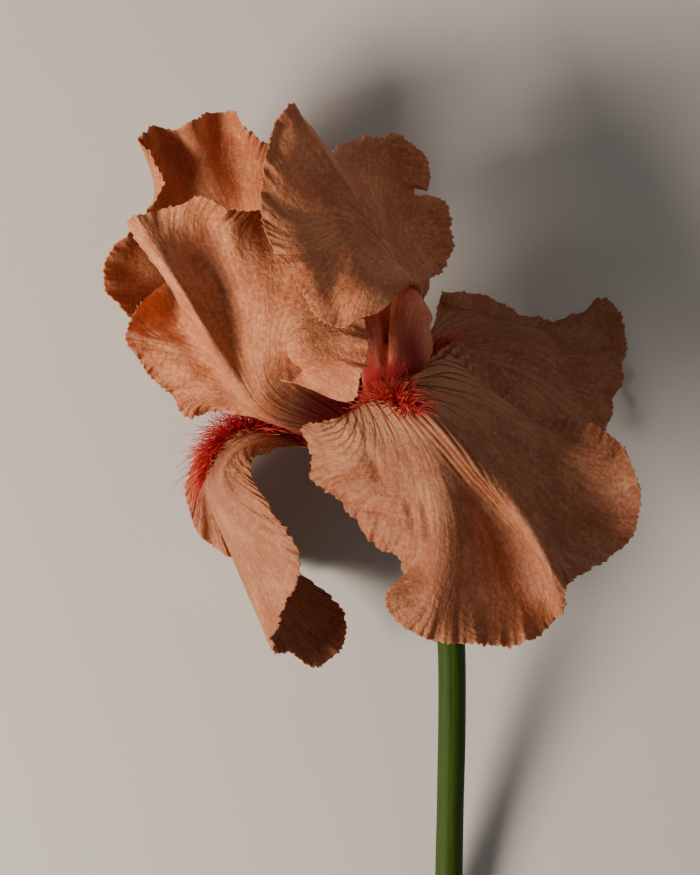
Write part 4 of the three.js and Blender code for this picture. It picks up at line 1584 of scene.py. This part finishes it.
@dataclass(frozen=True)
class ArmPlace:
    """Where a style arm goes: the front arm's own rows, turned about the flower's axis.

    It turns by claw_turn degrees at the claw and by tip_turn from the fourth row on, and moves by
    lift millimetres along the axis there. Only the front arm has the folds that the photo shows.
    """

    claw_turn: float = 0.0
    tip_turn: float = 0.0
    lift: float = 0.0
    has_folds: bool = False

    def moved(self, row: Array, share: float) -> Array:
        """A row of the front arm, moved by a share of the way to the tip's turn.

        The part of each point beside the axis turns about it, as p cos(a) + (axis x p) sin(a).

        Args:
            row: points in millimetres.
            share: 0 at the claw and 1 from the fourth row on.

        Returns:
            The moved points.
        """
        angle = math.radians(self.claw_turn + (self.tip_turn - self.claw_turn) * share)
        offset = row - THROAT
        level = (offset @ AXIS)[:, None] * AXIS
        beside = (offset - level) * math.cos(angle) + np.cross(AXIS, offset) * math.sin(angle)
        return THROAT + (level + beside) + AXIS * self.lift * share


# The front arm's rows, of which the last reaches under the right standard
STYLE_ARM_ROWS = [
    [(363, 402, 12), (376, 393, 11.5), (387, 388, 8)],
    [(364, 390, 14), (383, 381, 16.5), (403, 378, 12)],
    [(362, 378, 16), (378, 373, 20), (394, 371, 21.5), (410, 371, 20), (421, 371, 15)],
    [(362, 362, 18), (373, 345, 21), (380, 358, 21), (388, 359, 21.5), (397, 345, 23.5),
     (404, 325, 24), (415, 328, 21.5), (422, 348, 18), (428, 361, 14)],
    [(363, 352, 17), (362, 334, 19), (361, 314, 20), (376, 309, 21), (380, 322, 20),
     (385, 345, 20.5), (393.5, 332, 18.5), (391.5, 314, 18), (393.5, 296, 20),
     (402, 286.5, 21.5), (411, 285, 21), (421, 297, 19.5), (429, 309, 17), (432, 318, 16),
     (429, 328, 16), (433, 345, 14.5), (430, 357, 14)],
]

STYLE_FOLDS = [
    Fold([(402, 300, 0.5), (396, 322, 0.9), (391, 350, 0.6)], 1.0),
    Fold([(374, 325, 0.3), (377, 345, 0.5), (378, 365, 0.4)], 1.4),
    Fold([(385, 344, -1.0), (386, 358, -1.5), (387, 374, -0.7)], 1.3),
    Fold([(412, 310, 0.5), (418, 335, 0.6), (410, 362, 0.5)], 3.0),
]


@dataclass
class Style(Part):
    """The three arms that arch over the beards, each with a two-lobed crest.

    Sizes are in millimetres. A span holds where a mask's change begins and ends along an arm.
    """

    node: str = "style"
    arms: tuple[ArmPlace, ...] = (
        ArmPlace(has_folds=True),
        ArmPlace(claw_turn=-120, tip_turn=-158, lift=10),
        ArmPlace(claw_turn=120, tip_turn=84),
    )
    claw: tuple[Arc, Arc] = (Arc(0.8, 1.6, 30, 48), Arc(7, 5.2, 34, 34))
    lines: int = 56
    columns: int = 110
    crowding: float = 1.2
    evenings: int = 2
    thickness: float = 0.5
    rim_thickness: float = 0.2
    rim_width: float = 2.5
    crimp: EdgeWave = EdgeWave(0.22, 4.5, 3.0, power=1)
    teeth: EdgeTeeth = EdgeTeeth(0.35, 1.3, 0.8, pulled_in=0.4)
    edge_show: float = 0.8
    edge_reach: float = 0.7
    comb_show: float = 0.5
    comb_reach: float = 3.0
    haft_fade: Span = (0.7, 0.92)
    throat_red_shade_fade: Span = (0.66, 0.84)
    edged: Span = (0.4, 0.7)
    column_radius: float = 2.1
    column_foot: float = 0.3
    column_height: float = 3.2
    column_rings: int = 8
    column_spokes: int = 24
    veins: float = 6.0
    seed: int = 300
    finish: ClassVar[Finish] = Finish.STYLE
    slot: ClassVar[str] = "style"
    piece_name: ClassVar[str] = "{}_arms"

    def arm(self, place: ArmPlace) -> Body:
        """One arm: a loft with a lightly crimped and toothed crest.

        Row k is a row of the front arm, moved by the share min(1, k / 3).

        Args:
            place: where it goes.

        Returns:
            The body, in metres.
        """
        u = 1 - (1 - np.linspace(0, 1, self.lines)) ** self.crowding
        v = np.linspace(0, 1, self.columns)
        rows = [arc.points() for arc in self.claw] + [on_sheet(row) for row in STYLE_ARM_ROWS]
        rows = [place.moved(row, min(1.0, k / 3)) for k, row in enumerate(rows)]
        grid = loft(rows, u, v, self.evenings)
        if place.has_folds:
            grid = grid + grid_normals(grid) * folded(grid, STYLE_FOLDS)[..., None]
        margin, left, right = reaches(grid)
        edge = np.minimum(np.minimum(left, right), margin)
        position = travelled(grid[-1:], 1)
        seed = self.seed + int(abs(place.tip_turn))
        crimp = self.crimp.at(position, margin, seed)
        stretch = self.teeth.at(position, margin, seed + 2)
        grid = grid + grid_normals(grid) * crimp[..., None]
        grid = grid + unit(np.gradient(grid, axis=0)) * stretch[..., None]
        full = smooth_step(edge, 0, self.rim_width)
        thickness = self.rim_thickness + (self.thickness - self.rim_thickness) * full
        rim = self.edge_show * fading(edge, self.edge_reach, 1)
        # The throat_red_shade mask darkens the arm's foot to a deep red: painted shade over its own
        # red.
        masks = {
            "haft": (1 - smooth_step(u, *self.haft_fade))[:, None],
            "throat_red_shade": (1 - smooth_step(u, *self.throat_red_shade_fade))[:, None],
            "edge": rim * smooth_step(u, *self.edged)[:, None],
            "comb": self.comb_show * fading(edge, self.comb_reach, 1),
        }
        uv = paired(self.veins * v, u[:, None])
        return sheet_body(to_world(grid), thickness * MILLIMETRE, uv, masks)

    def column(self) -> Body:
        """The short round column that the arms grow from.

        Returns:
            The body, in metres.
        """
        heights = np.linspace(self.column_foot, self.column_height, self.column_rings)
        line = np.concatenate([flower_points(height, 0.0, 0.0) for height in heights])
        radius = np.full((self.column_rings, self.column_spokes), self.column_radius * MILLIMETRE)
        # The column is all throat red, painted as shade deep in the flower.
        masks = {"haft": 0.0, "throat_red_shade": 1.0, "edge": 0.0, "comb": 0.0}
        return round_body(to_world(line), radius, masks)

    def body(self) -> Body:
        """The column and its arms, in metres."""
        return joined([self.column()] + [self.arm(place) for place in self.arms])


@dataclass
class Stamen(Part):
    """A filament and the long anther it carries. Sizes are in millimetres.

    A station of its line is a height and a radius about the flower's axis, the share of the way
    from the claw's angle to the tip's, and the share of the lift that is added to the height.
    """

    node: str
    claw_angle: float
    tip_angle: float
    lift: float = 0.0
    filament_radius: float = 0.5
    filament: tuple[tuple[float, ...], ...] = (
        (0.55, 3.3, 0, 0), (3.4, 4.7, 0.4, 0), (6.8, 7.2, 0.8, 0.5), (10, 10, 1, 1))
    anther: tuple[tuple[float, ...], ...] = (
        (9.2, 9.2, 1, 1), (12.6, 12.6, 1, 1.3), (15.2, 16, 1, 1.6))
    anther_radius: float = 0.5
    groove_depth: float = 0.12
    pollen: float = 0.35
    rings: int = 26
    spokes: int = 14
    finish: ClassVar[Finish] = Finish.POLLEN
    slot: ClassVar[str] = "stamen"
    piece_name: ClassVar[str] = "{}_anther"

    def spine(self, stations: tuple[tuple[float, ...], ...]) -> Array:
        """A smooth line through stations.

        Args:
            stations: the stations, as the class describes them.

        Returns:
            One point for each ring, in metres.
        """
        turn = self.tip_angle - self.claw_angle
        points = np.concatenate([
            flower_points(height + rise * self.lift, radius, self.claw_angle + share * turn)
            for height, radius, share, rise in stations
        ])
        return to_world(smooth_curve(points, np.linspace(0, 1, self.rings)))

    def body(self) -> Body:
        """The filament and the anther, which has a groove down each side.

        The anther's radius is anther_radius * (1 + sqrt(sin(pi t))) - groove * cos(2 turn).

        Returns:
            Both shells in one body, in metres.
        """
        t = np.clip(np.linspace(0, 1, self.rings), 0.02, 0.98)[:, None]
        thread = np.full((self.rings, self.spokes), self.filament_radius)
        lobes = (self.anther_radius + self.anther_radius * np.sqrt(np.sin(np.pi * t))
                 - self.groove_depth * np.cos(2 * ring_turns(self.spokes)))
        return joined([
            round_body(self.spine(self.filament), thread * MILLIMETRE, {"edge": 0.0}),
            round_body(self.spine(self.anther), lobes * MILLIMETRE, {"edge": self.pollen}),
        ])


# The middle lines of the ovary and of the stem, on the drawing sheet
OVARY_LINE = [(375, 450, 0), (394.5, 487, -2), (415, 526, -4.2), (434, 569, -7.5),
              (447, 615, -11.5)]
STEM_LINE = [(447.7, 618, -11.9), (451.5, 650, -15), (452, 720, -22), (450.5, 800, -29),
             (449, 880, -34.6), (449, 962, -38.7)]


@dataclass
class Ovary(Part):
    """The flower tube, which opens into a cup at the throat, and the ribbed ovary under it.

    Sizes are in millimetres. A span holds where a change begins and ends along the line.
    """

    node: str = "ovary"
    rim_radius: float = 5.5
    tube_radius: float = 2.6
    ovary_radius: float = 4.6
    stem_radius: float = 3.6
    rib_height: float = 0.22
    ribs: int = 6
    cup: Span = (0.0, 0.16)
    swell: Span = (0.38, 0.62)
    foot: Span = (0.75, 1.0)
    rib_fade: Span = (0.85, 1.0)
    dry_throat: Span = (0.05, 0.4)
    rings: int = 84
    spokes: int = 48
    finish: ClassVar[Finish] = Finish.OVARY
    slot: ClassVar[str] = "ovary"
    piece_name: ClassVar[str] = "{}_and_tube"

    def body(self) -> Body:
        """The tube and the ovary.

        The radius is tube + cup, which shrinks from the throat on, + (ovary - tube) * swell -
        (ovary - stem) * foot, plus ribs, which are rib_height * cos(ribs * turn) on the ovary.

        Returns:
            The body, in metres.
        """
        t = np.linspace(0, 1, self.rings)[:, None]
        cup = (self.rim_radius - self.tube_radius) * (1 - smooth_step(t, *self.cup))
        swell = smooth_step(t, *self.swell)
        foot = (self.ovary_radius - self.stem_radius) * smooth_step(t, *self.foot)
        waves = self.rib_height * np.cos(self.ribs * ring_turns(self.spokes))
        ribs = waves * swell * (1 - smooth_step(t, *self.rib_fade))
        swollen = (self.ovary_radius - self.tube_radius) * swell
        radius = self.tube_radius + cup + swollen - foot + ribs
        line = to_world(smooth_curve(on_sheet(OVARY_LINE), t[:, 0]))
        masks = {"edge": 1 - smooth_step(t, *self.dry_throat)}
        return round_body(line, radius * MILLIMETRE, masks)


@dataclass
class Stem(Part):
    """The cut stem, with a small flat where it rests on the table. Sizes are in millimetres."""

    node: str = "stem"
    radius: float = 3.54
    flutes: int = 9
    flute_height: float = 0.05
    flute_twist: float = 2.0
    sway_height: float = 0.04
    sway_length: float = 22.0
    sway_span: float = 60.0
    cut_share: float = 0.004
    rings: int = 90
    spokes: int = 44
    seed: int = 5
    finish: ClassVar[Finish] = Finish.STEM
    slot: ClassVar[str] = "stem"
    piece_name: ClassVar[str] = "cut_{}"

    def body(self) -> Body:
        """The stem: a round body whose lowest points stay at the table's height.

        The radius is its own + flute_height * cos(flutes * turn + twist * t) + a slow wander.

        Returns:
            The body, in metres.
        """
        t = np.linspace(0, 1, self.rings)
        line = to_world(smooth_curve(on_sheet(STEM_LINE), t))
        turn = self.flutes * ring_turns(self.spokes) + self.flute_twist * t[:, None]
        sway = self.sway_height * wander(self.sway_span * t, self.sway_length, self.seed)[:, None]
        radius = self.radius + (self.flute_height * np.cos(turn) + sway)
        cut = np.clip(1 - (1 - t) / self.cut_share, 0, 1)[:, None]
        body = round_body(line, radius * MILLIMETRE, {"edge": cut})
        body.points[:, 2] = np.maximum(body.points[:, 2], 0.0)
        return body


@dataclass
class Spathe(Part):
    """A thin papery valve wrapped round the ovary. Sizes are in millimetres and degrees.

    foot and tip are shares of the ovary's line, which a piece of the stem's line lengthens, and
    the spans are shares of the valve's own length, or of its half width for dry_side.
    """

    node: str
    angle: float
    half_width: float
    radius: float
    foot_radius: float
    tip: float
    seed: int
    foot: float = 0.9
    taper: float = 0.94
    crease_height: float = 0.07
    crease_length: float = 2.6
    crease_span: float = 12.0
    creased: Span = (0.1, 0.4)
    widened: Span = (0.0, 0.3)
    dry_side: Span = (0.72, 1.0)
    dry_tip: Span = (0.7, 1.0)
    thickness: float = 0.45
    lines: int = 50
    columns: int = 48
    finish: ClassVar[Finish] = Finish.SPATHE
    slot: ClassVar[str] = "spathe"
    piece_name: ClassVar[str] = "{}_valve"

    def body(self) -> Body:
        """The valve.

        Line i wraps the ovary's line at t = foot + (tip - foot) * s, over half_width * (1 - taper
        * s^3) degrees to each side, at a radius that grows from the foot's to the full one.

        Returns:
            The body, in metres.
        """
        s = np.linspace(0, 1, self.lines)
        t = self.foot + (self.tip - self.foot) * s
        line = on_sheet(OVARY_LINE + [STEM_LINE[1]])
        nearby = 0.004
        axis = unit(smooth_curve(line, t - nearby) - smooth_curve(line, t + nearby))
        angle = math.radians(self.angle)
        middle = FRONT * math.cos(angle) + SIDE * math.sin(angle)
        middle = unit(middle - (axis @ middle)[:, None] * axis)
        side = np.linspace(-1, 1, self.columns)[None]
        turns = np.radians(self.half_width * (1 - self.taper * s ** 3)[:, None] * side)
        wide = smooth_step(s, *self.widened)
        wrap = self.foot_radius + (self.radius - self.foot_radius) * wide
        place = self.crease_span * side
        creases = self.crease_height * wander(place, self.crease_length, self.seed)
        radius = wrap[:, None] + creases * smooth_step(s, *self.creased)[:, None]
        spokes = spokes_round(axis, middle, turns[..., None])
        grid = smooth_curve(line, t)[:, None] + spokes * radius[..., None]
        tip = smooth_step(s, *self.dry_tip)[:, None]
        edge = smooth_step(np.abs(side), *self.dry_side) + tip
        thickness = np.full(edge.shape, self.thickness * MILLIMETRE)
        uv = paired((side + 1) / 2, s[:, None])
        return sheet_body(to_world(grid), thickness, uv, {"edge": np.clip(edge, 0, 1)})


# The table, the lights and the camera


@dataclass(frozen=True)
class Lamp:
    """A square soft lamp. Sizes are in metres and the power is in watts."""

    name: str
    place: Place
    size: float
    power: float
    colour: Colour

    def hang(self, aim: Place) -> None:
        """Hangs the lamp so that it points at a place.

        Args:
            aim: the place, in metres.
        """
        data = bpy.data.lights.new(self.name, "AREA")
        data.shape = "SQUARE"
        data.size = self.size
        data.energy = self.power
        data.color = self.colour
        lamp = bpy.data.objects.new(self.name, data)
        lamp.location = self.place
        direction = Vector(aim) - Vector(self.place)
        lamp.rotation_euler = direction.to_track_quat("-Z", "Y").to_euler()
        bpy.context.scene.collection.objects.link(lamp)


@dataclass
class Studio:
    """A pale table under soft lamps, seen from straight above. Sizes are in metres."""

    table_size: float = 4.0
    table_depth: float = 0.02
    table_colour: Colour = (0.64, 0.625, 0.60)
    table_roughness: float = 0.85
    aim: Place = (0.0, 0.03, 0.05)
    lamps: tuple[Lamp, ...] = (
        Lamp("key", place=(-0.66, -0.22, 0.52), size=0.34, power=12.5, colour=(1.0, 0.88, 0.74)),
        Lamp("fill", place=(0.75, 0.35, 0.75), size=0.7, power=1.1, colour=(1.0, 0.92, 0.85)),
    )
    surround_colour: Colour = (1.0, 0.96, 0.92)
    surround_strength: float = 0.11
    sheet_height: float = 2 * SHEET_CENTRE[1] * SHEET_STEP
    sensor: float = 36.0
    nearest_view: float = 0.01

    def table(self) -> None:
        """Makes the table top, a thin slab whose upper face is at height 0."""
        half = self.table_size / 2
        corners = [(x * half, y * half, z) for z in (0.0, -self.table_depth)
                   for x, y in ((-1, -1), (1, -1), (1, 1), (-1, 1))]
        faces = [(0, 1, 2, 3), (7, 6, 5, 4), (0, 4, 5, 1), (1, 5, 6, 2), (2, 6, 7, 3), (3, 7, 4, 0)]
        mesh = bpy.data.meshes.new("table")
        mesh.from_pydata(corners, [], faces)
        material, wire = new_material("table_paint")
        wire.surface({"Base Color": self.table_colour, "Roughness": self.table_roughness})
        mesh.materials.append(material)
        table = bpy.data.objects.new("table", mesh)
        bpy.context.scene.collection.objects.link(table)

    def lights(self) -> None:
        """A warm key from the left, a weak fill from the right and a soft pale surround."""
        for lamp in self.lamps:
            lamp.hang(self.aim)
        world = bpy.data.worlds.new("surround")
        world.use_nodes = True
        background = world.node_tree.nodes["Background"]
        background.inputs["Color"].default_value = (*self.surround_colour, 1.0)
        background.inputs["Strength"].default_value = self.surround_strength
        bpy.context.scene.world = world

    def camera(self) -> None:
        """Sets the camera at the eye, looking straight down.

        The focal length is sensor * eye height / sheet height, with the sheet's height in
        millimetres, so that the picture is as tall as the sheet at the throat's height.
        """
        data = bpy.data.cameras.new("eye")
        data.sensor_width = self.sensor
        data.lens = self.sensor * EYE_HEIGHT / self.sheet_height
        data.clip_start = self.nearest_view
        eye = bpy.data.objects.new("eye", data)
        eye.location = Vector(to_world(np.array([0.0, 0.0, EYE_HEIGHT])))
        bpy.context.scene.collection.objects.link(eye)
        bpy.context.scene.camera = eye

    def build(self) -> None:
        """Builds the whole stage."""
        self.table()
        self.lights()
        self.camera()


def bloom() -> list[Part]:
    """The bloom's parts.

    Returns:
        The parts, in the order in which they are built.
    """
    flower = petals()
    return [
        *flower.values(),
        Beard("beard_front", flower["fall_front"], start=0.2, end=0.47, side=-1, seed=11,
              hairs=1500, half_width=7.5),
        Beard("beard_left", flower["fall_left"], start=0.28, end=0.66, middle=0.54, side=1,
              seed=23, hairs=1100, hair_length=8.2, curl=0.8),
        Beard("beard_back", flower["fall_back"], start=0.28, end=0.52, side=-1, seed=37,
              hairs=500),
        Style(),
        Stamen("stamen_front", claw_angle=30, tip_angle=32),
        Stamen("stamen_left", claw_angle=-90, tip_angle=-97, lift=2.6),
        Stamen("stamen_back", claw_angle=150, tip_angle=117),
        Ovary(),
        Stem(),
        Spathe("spathe_outer", angle=200, half_width=112, radius=6.8, foot_radius=5.6, tip=0.14,
               seed=400),
        Spathe("spathe_inner", angle=20, half_width=95, radius=5.55, foot_radius=4.35, tip=0.2,
               seed=410),
    ]


def main() -> None:
    """Builds the bloom piece by piece, then the stage."""
    logging.basicConfig(level=logging.INFO, format="%(name)s: %(message)s")
    groups = Groups()
    materials = {finish: finish.value.material(groups) for finish in Finish}
    for part in bloom():
        part.build(materials)
    Studio().build()
    bpy.context.view_layer.update()


if __name__ == "__main__":
    main()
